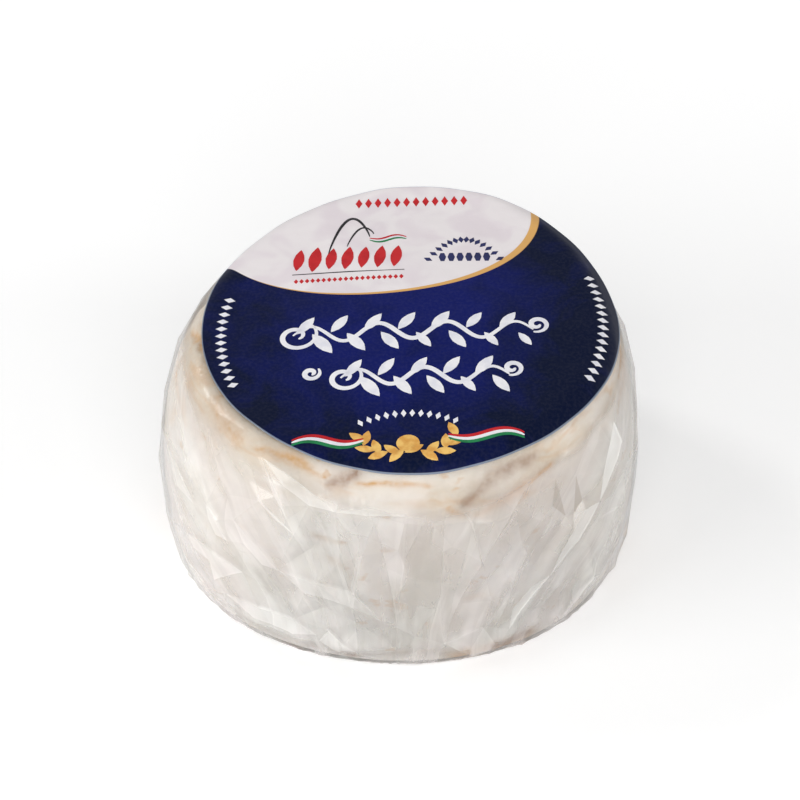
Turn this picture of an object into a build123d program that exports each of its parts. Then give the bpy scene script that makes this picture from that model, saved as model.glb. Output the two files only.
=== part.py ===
from build123d import *
import os
from math import cos, pi, radians, sin

# A small soft-ripened cheese, wrapped tight in clear film, with a round label stuck on its top.
# The origin is the middle of the base, +Z points up, and the front of the label faces -Y.
# All lengths are in millimetres.

os.makedirs("parts", exist_ok=True)

# The cheese: a low wheel with a flat base, a bulging side, round shoulders and a slightly domed top.
cheese_diameter = 87.6  # across the widest part of the side
cheese_height = 46.2  # from its base to the rim of its top
widest_height = 17.0  # from its base to the widest part
foot_radius = 3.0  # rounding of the lower edge
foot_inset = 1.6  # how much narrower the side is above the foot than at its widest
shoulder_width = 8.8  # of the rounded upper part of the side, measured inward
shoulder_power = 2.2  # 2 is an ellipse, more is squarer
dome_height = 1.0  # of the middle of the top above its rim
crown_radius = 12.0  # of the flat spot in the middle of the top

# A ripened wheel is never quite round or level.
oval = 0.019  # shares of the radius, for the plan's two-sided and three-sided waves
three_sided = 0.028
oval_turn = radians(63)
three_sided_turn = radians(82)
rise_right = 1.8  # the top is this much higher at its right edge than in its middle
rise_back = 1.2

# The film: one thin closed skin, folded in long creases that run down towards the front.
film_wall = 0.25
film_clearance = 0.5  # between the cheese's side and the film
creases = 12
facets_per_crease = 3
crease_lifts = (1.0, 0.15, 0.5)  # shares of crease_depth, for the corners of each crease in turn
crease_depth = 0.9
crease_lean = radians(24)  # how far round towards the front a crease runs, from shoulder to base
crease_top = 36.0  # above this height the film lies flat on the cheese

# The label: a round sheet, set a little to the right and to the front, bent down over the shoulder.
label_margin = 6.0  # from the cheese's widest part to the label's edge, in plan
label_thickness = 0.18
label_clearance = 0.08  # for the glue, between the film and the label
label_shift_right = 2.2
label_shift_front = 1.5

cheese_radius = cheese_diameter / 2
rim_radius = cheese_radius - shoulder_width
label_radius = cheese_radius - label_margin
shoulder_levels = (16, 32, 48, 62, 76, 90)
label_levels = shoulder_levels[2:]
film_corners = creases * facets_per_crease
cheese_corners = 24


def foot_rows(growth, drop):
    """The rounded lower edge, from the flat base outward, as (radius, height) pairs."""
    side = cheese_radius - foot_inset
    rows = []
    for angle in (90, 45, 0):
        radius = side + growth - foot_radius * (1 - cos(radians(angle)))
        rows.append((radius, foot_radius - (foot_radius + drop) * sin(radians(angle))))
    return rows


def side_rows(growth):
    """The bulging side above the foot, up to its widest part."""
    rows = []
    for share in (0.5, 1.0):
        radius = cheese_radius - foot_inset * (1 - share) ** 2
        rows.append((radius + growth, foot_radius + (widest_height - foot_radius) * share))
    return rows


def shoulder_rows(growth, angles=shoulder_levels):
    """The side rounding over above its widest part, to the rim of the top at 90 degrees."""
    rows = []
    for angle in angles:
        across = abs(cos(radians(angle))) ** (2 / shoulder_power)
        along = sin(radians(angle)) ** (2 / shoulder_power)
        height = widest_height + (cheese_height + growth - widest_height) * along
        rows.append((rim_radius + (shoulder_width + growth) * across, height))
    return rows


def crown_rows(growth):
    """The flat crown, higher than the rim, which closes the gently domed top."""
    return [(crown_radius, cheese_height + growth + dome_height)]


def plan_wave(angle):
    """How far from round the plan is at an angle, as a factor of the radius."""
    two_sided = oval * cos(2 * (angle - oval_turn))
    return 1 + two_sided + three_sided * cos(3 * (angle - three_sided_turn))


def level_share(height):
    """0 up to the widest part, rising to 1 at the rim of the top and above."""
    share = (height - widest_height) / (cheese_height - widest_height)
    return min(max(share, 0), 1)


def level_plane(height):
    """The plane of a level: flat low down, and tilted as much as the top is higher up."""
    slope_x = level_share(height) * rise_right / cheese_radius
    slope_y = level_share(height) * rise_back / cheese_radius
    origin = (-centre_x, -centre_y, film_wall + height)
    return Plane(origin=origin, x_dir=(1, 0, slope_x), z_dir=(-slope_x, -slope_y, 1))


def smooth_section(radius, height):
    """One level of the cheese, with a smooth outline."""
    angles = [2 * pi * step / cheese_corners for step in range(cheese_corners)]
    points = [(radius * plan_wave(a) * cos(a), radius * plan_wave(a) * sin(a)) for a in angles]
    with BuildSketch(level_plane(height)) as section:
        with BuildLine():
            Spline(*points, periodic=True)
        make_face()
    return section.sketch


def film_outline(radius, height):
    """The corners of one level of the film, which stand off the cheese along each crease."""
    slack = min(max((crease_top - height) / (crease_top - widest_height), 0), 1)
    fall = min(max((crease_top - height) / crease_top, 0), 1)
    points = []
    for corner in range(film_corners):
        angle = 2 * pi * corner / film_corners
        angle = angle - crease_lean * fall * cos(angle)
        lift = crease_depth * slack * crease_lifts[corner % facets_per_crease]
        reach = radius * plan_wave(angle) + lift
        points.append((reach * cos(angle), reach * sin(angle)))
    return points


def folded_section(radius, height):
    """One level of the film or of the label, with straight facets."""
    with BuildSketch(level_plane(height)) as section:
        with BuildLine():
            Polyline(*film_outline(radius, height), close=True)
        make_face()
    return section.sketch


# The origin is put under the middle of the wrapped wheel's widest outline.
film_growth = film_clearance + film_wall
widest_outline = film_outline(cheese_radius + film_growth, widest_height)
centre_x = (max(x for x, y in widest_outline) + min(x for x, y in widest_outline)) / 2
centre_y = (max(y for x, y in widest_outline) + min(y for x, y in widest_outline)) / 2

with BuildPart() as cheese:
    rows = foot_rows(0, 0) + side_rows(0) + shoulder_rows(0) + crown_rows(0)
    loft(sections=[smooth_section(radius, height) for radius, height in rows], ruled=True)

with BuildPart() as film:
    rows = foot_rows(film_growth, film_wall) + side_rows(film_growth)
    rows = rows + shoulder_rows(film_growth) + crown_rows(film_growth)
    loft(sections=[folded_section(radius, height) for radius, height in rows], ruled=True)
    rows = foot_rows(film_clearance, 0) + side_rows(film_clearance)
    rows = rows + shoulder_rows(film_clearance) + crown_rows(film_clearance)
    inner = [folded_section(radius, height) for radius, height in rows]
    loft(sections=inner, ruled=True, mode=Mode.SUBTRACT)

with BuildPart() as label:
    underside = film_growth + label_clearance
    face = underside + label_thickness
    rows = shoulder_rows(face, label_levels) + crown_rows(face)
    loft(sections=[folded_section(radius, height) for radius, height in rows], ruled=True)
    rows = shoulder_rows(underside, label_levels) + crown_rows(underside)
    under = [folded_section(radius, height) for radius, height in rows]
    loft(sections=under, ruled=True, mode=Mode.SUBTRACT)
    with BuildSketch(Plane.XY.offset(widest_height)):
        with Locations((label_shift_right, -label_shift_front)):
            Circle(label_radius)
    extrude(amount=cheese_height, mode=Mode.INTERSECT)

for name, piece in (("cheese", cheese), ("film", film), ("label", label)):
    piece.part.label = name
    export_step(piece.part, f"parts/{name}.step")
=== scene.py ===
import logging
from dataclasses import dataclass, field, replace
from enum import Enum
from math import cos, pi, radians, sin, tau
from random import Random
from typing import Callable, Optional, Sequence, Union

import bpy
import numpy as np
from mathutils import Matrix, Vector, geometry, noise

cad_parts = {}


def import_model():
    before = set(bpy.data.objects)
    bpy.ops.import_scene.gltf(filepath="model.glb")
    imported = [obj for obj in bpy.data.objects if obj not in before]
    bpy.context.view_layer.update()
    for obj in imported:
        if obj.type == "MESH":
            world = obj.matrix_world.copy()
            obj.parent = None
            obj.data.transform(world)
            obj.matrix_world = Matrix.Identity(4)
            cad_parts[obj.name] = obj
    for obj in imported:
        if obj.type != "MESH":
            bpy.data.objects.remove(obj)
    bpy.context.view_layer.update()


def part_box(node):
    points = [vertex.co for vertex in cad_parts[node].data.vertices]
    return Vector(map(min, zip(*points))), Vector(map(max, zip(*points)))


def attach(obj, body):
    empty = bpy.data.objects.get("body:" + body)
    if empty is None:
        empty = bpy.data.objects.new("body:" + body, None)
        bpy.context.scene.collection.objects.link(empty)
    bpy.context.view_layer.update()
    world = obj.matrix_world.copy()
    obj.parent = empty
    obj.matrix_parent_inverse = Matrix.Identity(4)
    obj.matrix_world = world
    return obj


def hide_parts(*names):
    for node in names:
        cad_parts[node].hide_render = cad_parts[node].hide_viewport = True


log = logging.getLogger("wrapped_wheel")
MM = 0.001
Flat = tuple[float, float]
Space = tuple[float, float, float]
Colour = tuple[float, float, float, float]
Socket = bpy.types.NodeSocket
Value = Union[Socket, float, int, tuple]
Step = tuple[float, ...]
WHITE: Colour = (1.0, 1.0, 1.0, 1.0)
GREY: Colour = (0.5, 0.5, 0.5, 1.0)


def linear(red: int, green: int, blue: int) -> Colour:
    """Turns a colour of 0 to 255 steps, as a display shows it, into the linear colour that nodes take.

    Args:
        red: Red, 0 to 255.
        green: Green, 0 to 255.
        blue: Blue, 0 to 255.

    Returns:
        The linear colour, with an alpha of 1.
    """
    shares = [step / 255 for step in (red, green, blue)]
    made = [share / 12.92 if share < 0.04045 else ((share + 0.055) / 1.055) ** 2.4 for share in shares]
    return (made[0], made[1], made[2], 1.0)


class Graph:
    """A node tree that is being wired up, for a finish or for a shape."""

    def __init__(self, tree: bpy.types.NodeTree) -> None:
        """Keeps the tree to wire."""
        self.tree = tree

    def add(self, kind: str, inputs: Optional[dict[Union[str, int], Value]] = None,
            **settings: object) -> bpy.types.Node:
        """Adds one node.

        Args:
            kind: The node's type name.
            inputs: For each input's name or number, a socket to link or a value to set.
            settings: The node's own settings.

        Returns:
            The new node.
        """
        node = self.tree.nodes.new(kind)
        for name, setting in settings.items():
            setattr(node, name, setting)
        for name, value in (inputs or {}).items():
            if isinstance(value, Socket):
                self.tree.links.new(value, node.inputs[name])
            else:
                node.inputs[name].default_value = value
        return node

    def math(self, operation: str, first: Value, second: Value = 0.0, third: Value = 0.0,
             clamp: bool = False) -> Socket:
        """Adds a Math node.

        Args:
            operation: The operation's name.
            first: The first number.
            second: The second number.
            third: The third number.
            clamp: Whether the answer is kept between 0 and 1.

        Returns:
            The answer's socket.
        """
        values = {0: first, 1: second, 2: third}
        return self.add("ShaderNodeMath", values, operation=operation, use_clamp=clamp).outputs[0]

    def plus(self, first: Value, second: Value, clamp: bool = False) -> Socket:
        """Adds two numbers."""
        return self.math("ADD", first, second, clamp=clamp)

    def minus(self, first: Value, second: Value) -> Socket:
        """Takes the second number from the first."""
        return self.math("SUBTRACT", first, second)

    def times(self, first: Value, second: Value, clamp: bool = False) -> Socket:
        """Multiplies two numbers."""
        return self.math("MULTIPLY", first, second, clamp=clamp)

    def over(self, first: Value, second: Value, clamp: bool = False) -> Socket:
        """Divides the first number by the second."""
        return self.math("DIVIDE", first, second, clamp=clamp)

    def times_plus(self, first: Value, second: Value, third: Value, clamp: bool = False) -> Socket:
        """Multiplies the first two numbers and adds the third."""
        return self.math("MULTIPLY_ADD", first, second, third, clamp)

    def length(self, first: Value, second: Value) -> Socket:
        """Finds the length of a flat arrow from its two parts."""
        return self.math("SQRT", self.plus(self.times(first, first), self.times(second, second)))

    def arrow(self, operation: str, first: Value, second: Value = (0.0, 0.0, 0.0)) -> bpy.types.Node:
        """Adds a Vector Math node."""
        return self.add("ShaderNodeVectorMath", {0: first, 1: second}, operation=operation)

    def parts(self, place: Value) -> tuple[Socket, ...]:
        """Takes a place apart into its three numbers."""
        return tuple(self.add("ShaderNodeSeparateXYZ", {0: place}).outputs)

    def joined(self, first: Value, second: Value, third: Value = 0.0) -> Socket:
        """Puts three numbers together as a place."""
        return self.add("ShaderNodeCombineXYZ", {0: first, 1: second, 2: third}).outputs[0]

    def step(self, value: Value, low: float, high: float, low_out: float = 0.0,
             high_out: float = 1.0) -> Socket:
        """Adds a smooth step from one level to another.

        Args:
            value: What is stepped.
            low: Where the step starts.
            high: Where the step ends.
            low_out: The level before it.
            high_out: The level after it.

        Returns:
            The level's socket.
        """
        values = {0: value, 1: low, 2: high, 3: low_out, 4: high_out}
        return self.add("ShaderNodeMapRange", values, interpolation_type="SMOOTHSTEP").outputs[0]

    def blend(self, share: Value, first: Value, second: Value) -> Socket:
        """Adds a blend of two colours."""
        return self.add("ShaderNodeMix", {0: share, 6: first, 7: second}, data_type="RGBA").outputs[2]

    def grain(self, place: Value, scale: float, detail: float = 2.0, rough: float = 0.5,
              twist: float = 0.0) -> Socket:
        """Adds a noise texture.

        Args:
            place: The place's socket, in metres or label radii.
            scale: The noise's scale.
            detail: Its octaves.
            rough: The weight of the finer octaves.
            twist: Its distortion.

        Returns:
            The noise's socket, about 0.3 to 0.7.
        """
        values = {"Vector": place, "Scale": scale, "Detail": detail, "Roughness": rough, "Distortion": twist}
        return self.add("ShaderNodeTexNoise", values).outputs[0]

    def stretch(self, place: Value, scale: Space, shift: Space = (0.0, 0.0, 0.0)) -> Socket:
        """Adds a Mapping node that stretches and shifts a place."""
        return self.add("ShaderNodeMapping", {"Vector": place, "Scale": scale, "Location": shift}).outputs[0]

    def attribute(self, name: str, output: str = "Fac") -> Socket:
        """Reads one of the mesh's own attributes."""
        return self.add("ShaderNodeAttribute", attribute_name=name).outputs[output]

    def bump(self, height: Value, strength: float, distance: float, below: Optional[Socket] = None) -> Socket:
        """Adds a bump.

        Args:
            height: The relief's height, in steps of the distance.
            strength: The bump's strength.
            distance: The height of one step, in metres.
            below: A bump that lies under this one.

        Returns:
            The bumped direction's socket.
        """
        values = {"Height": height, "Strength": strength, "Distance": distance}
        if below is not None:
            values["Normal"] = below
        return self.add("ShaderNodeBump", values).outputs[0]

    def glossy(self, rough: Value, facing: Socket) -> Socket:
        """Adds a colourless sheen."""
        values = {"Color": WHITE, "Roughness": rough, "Normal": facing}
        return self.add("ShaderNodeBsdfAnisotropic", values).outputs[0]

    def matt(self, body: Value, facing: Socket) -> Socket:
        """Adds a matt colour."""
        return self.add("ShaderNodeBsdfDiffuse", {"Color": body, "Normal": facing}).outputs[0]

    def over_shader(self, share: Value, lower: Socket, upper: Socket) -> Socket:
        """Lays one shader over another."""
        return self.add("ShaderNodeMixShader", {0: share, 1: lower, 2: upper}).outputs[0]


@dataclass(frozen=True)
class Sheen:
    """A thin sheen on print or paper that stays faint at a low angle."""

    index: float
    most: float

    def lay(self, graph: Graph, body: Value, rough: Value, facing: Socket) -> Socket:
        """Lays the sheen on a matt colour.

        Args:
            graph: The graph to wire.
            body: The matt colour.
            rough: The sheen's roughness.
            facing: The surface's direction.

        Returns:
            The shader's socket.
        """
        share = graph.add("ShaderNodeFresnel", {"IOR": self.index, "Normal": facing}).outputs[0]
        share = graph.math("MINIMUM", share, self.most)
        return graph.over_shader(share, graph.matt(body, facing), graph.glossy(rough, facing))


class Finish:
    """A material in the making: its node tree, and the object's own place to lay patterns on."""

    def __init__(self, name: str) -> None:
        """Starts a material with an empty tree."""
        self.material = bpy.data.materials.new(name)
        self.material.use_nodes = True
        self.material.node_tree.nodes.clear()
        self.graph = Graph(self.material.node_tree)

    def place(self) -> Socket:
        """Gives the place in the object's own metres."""
        return self.graph.add("ShaderNodeTexCoord").outputs["Object"]

    def end(self, shader: Socket) -> bpy.types.Material:
        """Ends the tree with a shader and gives the material."""
        self.graph.add("ShaderNodeOutputMaterial", {"Surface": shader})
        return self.material


@dataclass(frozen=True)
class RindFinish:
    """The bloomy rind: a white felt of mould over cream paste, rubbed ochre along its wrinkles."""

    bloom: Colour = linear(246, 241, 236)
    cream: Colour = linear(217, 204, 185)
    ochre: Colour = linear(212, 166, 106)
    # Brown in the creases: partly stain, partly painted shade in the creases and at the foot.
    brown: Colour = linear(156, 118, 90)
    shoulder: Step = (33.0 * MM, 43.0 * MM)
    foot: Step = (6.0 * MM, 3.0 * MM)
    foot_patches: Step = (0.5, 0.62)
    crust_cover: Step = (0.36, 0.62, 0.62, 1.0)
    cloud_cover: Step = (0.40, 0.62)
    felt_cover: Step = (0.35, 0.7, 0.0, 0.10)
    streak_cover: Step = (0.52, 0.68)
    speck_cover: Step = (0.64, 0.71)
    pore_depth: Step = (0.05, 0.3)
    creamy_shoulder: float = 0.48
    creamy_clouds: float = 0.45
    worn_streaks: float = 0.30
    worn_specks: float = 0.45
    worn_foot: float = 0.7
    rough: float = 0.82
    cloud_scale: float = 55.0
    streak_scale: Space = (70.0, 70.0, 300.0)
    speck_scale: Space = (150.0, 150.0, 260.0)
    crust_scale: float = 480.0
    foot_scale: float = 60.0
    felt_scale: float = 1500.0
    pore_scale: float = 330.0
    stain: float = 1.15
    shade_and_brown_strength: float = 1.20

    def build(self) -> bpy.types.Material:
        """Builds the rind's material.

        Returns:
            The material.
        """
        made = Finish("bloomy_rind")
        graph, place = made.graph, made.place()
        height = graph.parts(place)[2]
        shoulder = graph.step(height, *self.shoulder)
        felt = graph.grain(place, self.felt_scale, 2.0)
        crust = graph.step(graph.grain(place, self.crust_scale, 3.0, 0.6), *self.crust_cover)
        clouds = graph.step(graph.grain(place, self.cloud_scale, 3.0), *self.cloud_cover)
        creamy = graph.times_plus(shoulder, self.creamy_shoulder, graph.times(clouds, self.creamy_clouds))
        body = graph.blend(creamy, self.bloom, self.cream)
        body = graph.blend(self.worn(graph, place, height, shoulder, crust), body, self.ochre)
        # Brown along the creases: partly stain, partly painted shade in them.
        shade_and_brown_share = graph.times(graph.times(graph.attribute("crease_shade_and_brown"), self.shade_and_brown_strength), crust, clamp=True)
        body = graph.blend(shade_and_brown_share, body, self.brown)
        body = graph.blend(graph.step(felt, *self.felt_cover), body, self.bloom)
        pores = graph.add("ShaderNodeTexVoronoi", {"Vector": place, "Scale": self.pore_scale})
        relief = graph.plus(graph.times(felt, 0.5), graph.step(pores.outputs["Distance"], *self.pore_depth))
        return made.end(graph.add("ShaderNodeBsdfPrincipled", {
            "Base Color": body, "Roughness": self.rough, "Normal": graph.bump(relief, 0.35, 0.2 * MM),
            "Subsurface Weight": 0.12, "Subsurface Radius": (0.004, 0.003, 0.002), "Subsurface Scale": 0.6,
            "Specular IOR Level": 0.3}).outputs[0])

    def worn(self, graph: Graph, place: Socket, height: Socket, shoulder: Socket, crust: Socket) -> Socket:
        """Tells where the felt is rubbed off: in hollows, in streaks, in specks and at the foot.

        Args:
            graph: The graph to wire.
            place: The place's socket.
            height: The height's socket.
            shoulder: A socket that is 1 on the shoulder.
            crust: The socket that breaks the stains up.

        Returns:
            A socket that is 1 where the felt is gone.
        """
        streaks = graph.grain(graph.stretch(place, self.streak_scale), 1.0, 3.0, 0.6, 0.8)
        streaks = graph.step(streaks, *self.streak_cover)
        rubbed = graph.times(streaks, graph.times(shoulder, self.worn_streaks))
        worn = graph.times_plus(graph.times(graph.attribute("hollow"), self.stain), crust, rubbed, clamp=True)
        specks = graph.grain(graph.stretch(place, self.speck_scale), 1.0, 3.0, 0.6)
        specks = graph.times(graph.step(specks, *self.speck_cover), self.worn_specks)
        worn = graph.plus(worn, specks, clamp=True)
        patches = graph.step(graph.grain(place, self.foot_scale), *self.foot_patches)
        foot = graph.times(graph.step(height, *self.foot), patches)
        return graph.plus(worn, graph.times(foot, self.worn_foot), clamp=True)


@dataclass(frozen=True)
class FilmFinish:
    """Clear film in long overlapping pleats: glossy, thinly milky, clearest where it lies on the shoulder."""

    haze: Colour = linear(253, 247, 245)
    cool: Colour = linear(247, 246, 242)
    # Painted shade: the darker veil colour laid on the shaded facets.
    shade: Colour = linear(176, 165, 154)
    clarity: Colour = (0.985, 0.985, 0.985, 1.0)
    gloss: float = 0.20
    index: float = 1.60
    pleat_scale: Space = (75.0, 75.0, 20.0)
    fine_scale: Space = (290.0, 290.0, 48.0)
    wrinkle_scale: Space = (200.0, 200.0, 42.0)
    calm_scale: float = 42.0
    cloud_scale: float = 65.0
    tint_scale: float = 48.0
    damp_scale: float = 62.0
    # Facet tones below 0 step into the painted shade.
    painted_shade_step: Step = (-0.15, -1.2)
    calm_cover: Step = (0.42, 0.60)
    cloud_milk: Step = (0.38, 0.64, 0.24, 0.44)
    tint_cover: Step = (0.40, 0.60)
    wrinkle_milk: Step = (0.55, 0.70, 0.0, 0.05)
    pleat_milk: float = 0.12
    fine_milk: float = 0.04
    # Milk on the fold and seam lines: partly stress-whitened film, partly painted highlight along the
    # creases.
    fold_milk_and_highlight: float = 0.20
    # Facet milk: painted highlight on facets with a positive tone, painted shade on those with a negative
    # one, small random tones between.
    facet_light_and_tone_milk: float = 0.12
    painted_highlight_milk: float = 0.24
    painted_shade_milk: float = 0.30
    damp_top: Step = (8.0 * MM, 4.0 * MM)
    damp_foot: Step = (0.6 * MM, 2.0 * MM)
    damp_cover: Step = (0.42, 0.54)
    damp_clears: float = 0.80
    # Whiter at the foot: partly gathered film, partly painted light over the contact shade there.
    hem_milk_and_painted_light: Step = (2.0 * MM, 0.6 * MM, 0.0, 0.40)
    hem_gloss: Step = (0.5 * MM, 4.0 * MM, 0.25, 1.0)
    tight_milk: float = 0.10
    tight_gloss: float = 0.35
    pleat_relief: float = 1.4 * MM
    fine_relief: float = 0.2 * MM
    wrinkle_relief: float = 0.7 * MM

    def build(self) -> bpy.types.Material:
        """Builds the film's material.

        Returns:
            The material.
        """
        made = Finish("clear_film")
        graph = made.graph
        flow = graph.attribute("flow", "Vector")
        loose = graph.attribute("loose")
        height = graph.parts(flow)[2]
        # 1 on the facets that carry painted shade.
        shaded = graph.step(graph.attribute("facet"), *self.painted_shade_step)
        tilt, tone, seam = self.pleats(graph, flow, self.pleat_scale)
        fine_tilt, fine_tone, fine_seam = self.pleats(graph, flow, self.fine_scale)
        calm = graph.step(graph.grain(flow, self.calm_scale, 1.0), *self.calm_cover)
        wrinkles = graph.grain(graph.stretch(flow, self.wrinkle_scale), 1.0, 2.0, 0.45, 0.6)
        rumple = graph.times_plus(wrinkles, calm, graph.times(wrinkles, 0.25))
        creased = graph.bump(tilt, 1.0, self.pleat_relief)
        creased = graph.bump(graph.times(fine_tilt, calm), 1.0, self.fine_relief, creased)
        creased = graph.bump(rumple, 0.35, self.wrinkle_relief, creased)
        cloud = graph.step(graph.grain(flow, self.cloud_scale, 2.0), *self.cloud_milk)
        milk = graph.times_plus(graph.minus(tone, 0.5), self.pleat_milk, cloud)
        milk = graph.plus(milk, graph.times(graph.minus(fine_tone, 0.5), self.fine_milk))
        milk = graph.plus(milk, graph.step(wrinkles, *self.wrinkle_milk))
        # Seam and fold lines are whitened: partly stress-whitened film, partly painted highlight along the
        # creases.
        lines = graph.times(graph.math("MAXIMUM", seam, graph.times(fine_seam, 0.2)), calm)
        folds = graph.math("MAXIMUM", graph.times(lines, 0.3), graph.attribute("fold"))
        milk = graph.times_plus(folds, self.fold_milk_and_highlight, milk)
        milk = self.thickened(graph, milk, flow, height, loose, shaded)
        cooler = graph.step(graph.grain(flow, self.tint_scale, 2.0), *self.tint_cover)
        tint = graph.blend(cooler, self.haze, self.cool)
        # The veil turns to the painted shade colour on the shaded facets.
        veil = graph.matt(graph.blend(shaded, tint, self.shade), creased)
        clear = graph.add("ShaderNodeBsdfTransparent", {"Color": self.clarity}).outputs[0]
        edge = graph.add("ShaderNodeFresnel", {"IOR": self.index, "Normal": creased}).outputs[0]
        edge = graph.times(edge, graph.times_plus(loose, 1 - self.tight_gloss, self.tight_gloss))
        edge = graph.times(edge, graph.step(height, *self.hem_gloss))
        veiled = graph.over_shader(milk, clear, veil)
        return made.end(graph.over_shader(edge, veiled, graph.glossy(self.gloss, creased)))

    def thickened(self, graph: Graph, milk: Socket, flow: Socket, height: Socket, loose: Socket,
                  shaded: Socket) -> Socket:
        """Thickens or thins the milkiness over the facets, whose tones are painted highlight and painted
        shade, where the film lies close, and at the foot.

        Args:
            graph: The graph to wire.
            milk: The milkiness's socket.
            flow: The place along the flow.
            height: The height's socket.
            loose: A socket that is 1 where the film hangs free.
            shaded: A socket that is 1 on shaded facets.

        Returns:
            The final milkiness, 0 to 1.
        """
        facet = graph.attribute("facet")
        # Facet tones: painted highlight where positive, painted shade where negative, small random tones
        # elsewhere.
        milk = graph.times_plus(facet, self.facet_light_and_tone_milk, milk)
        damp = graph.times(graph.step(height, *self.damp_top), graph.step(height, *self.damp_foot))
        damp = graph.times(damp, graph.step(graph.grain(flow, self.damp_scale), *self.damp_cover))
        milk = graph.times(milk, graph.times_plus(damp, -self.damp_clears, 1.0))
        # Whiter at the foot: gathered film, and painted light over the contact shade.
        milk = graph.plus(milk, graph.step(height, *self.hem_milk_and_painted_light))
        milk = graph.times(milk, graph.times_plus(loose, 1 - self.tight_milk, self.tight_milk))
        # Painted highlight: the bright facets are whitened further.
        milk = graph.times_plus(graph.math("MAXIMUM", facet, 0.0), self.painted_highlight_milk, milk)
        # Painted shade: the shaded facets get a thicker veil.
        return graph.times_plus(shaded, self.painted_shade_milk, milk, clamp=True)

    @staticmethod
    def pleats(graph: Graph, flow: Socket, scale: Space) -> tuple[Socket, Socket, Socket]:
        """Lays long straight-edged pleats along the film's flow.

        Args:
            graph: The graph to wire.
            flow: The place along the flow.
            scale: How many pleats a metre holds on each axis.

        Returns:
            The sockets of each pleat's slope, its tone from 0 to 1, and 1 on its edges.
        """
        values = {"Vector": graph.stretch(flow, scale), "Scale": 1.0}
        cell = graph.add("ShaderNodeTexVoronoi", values)
        edge = graph.add("ShaderNodeTexVoronoi", values, feature="DISTANCE_TO_EDGE")
        local = graph.arrow("SUBTRACT", values["Vector"], cell.outputs["Position"]).outputs[0]
        turned = graph.arrow("SUBTRACT", cell.outputs["Color"], (0.5, 0.5, 0.5)).outputs[0]
        slope = graph.arrow("DOT_PRODUCT", local, turned).outputs["Value"]
        tone = graph.add("ShaderNodeSeparateColor", {0: cell.outputs["Color"]}).outputs[2]
        return slope, tone, graph.step(edge.outputs["Distance"], 0.0, 0.045, 1.0, 0.0)


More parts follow.
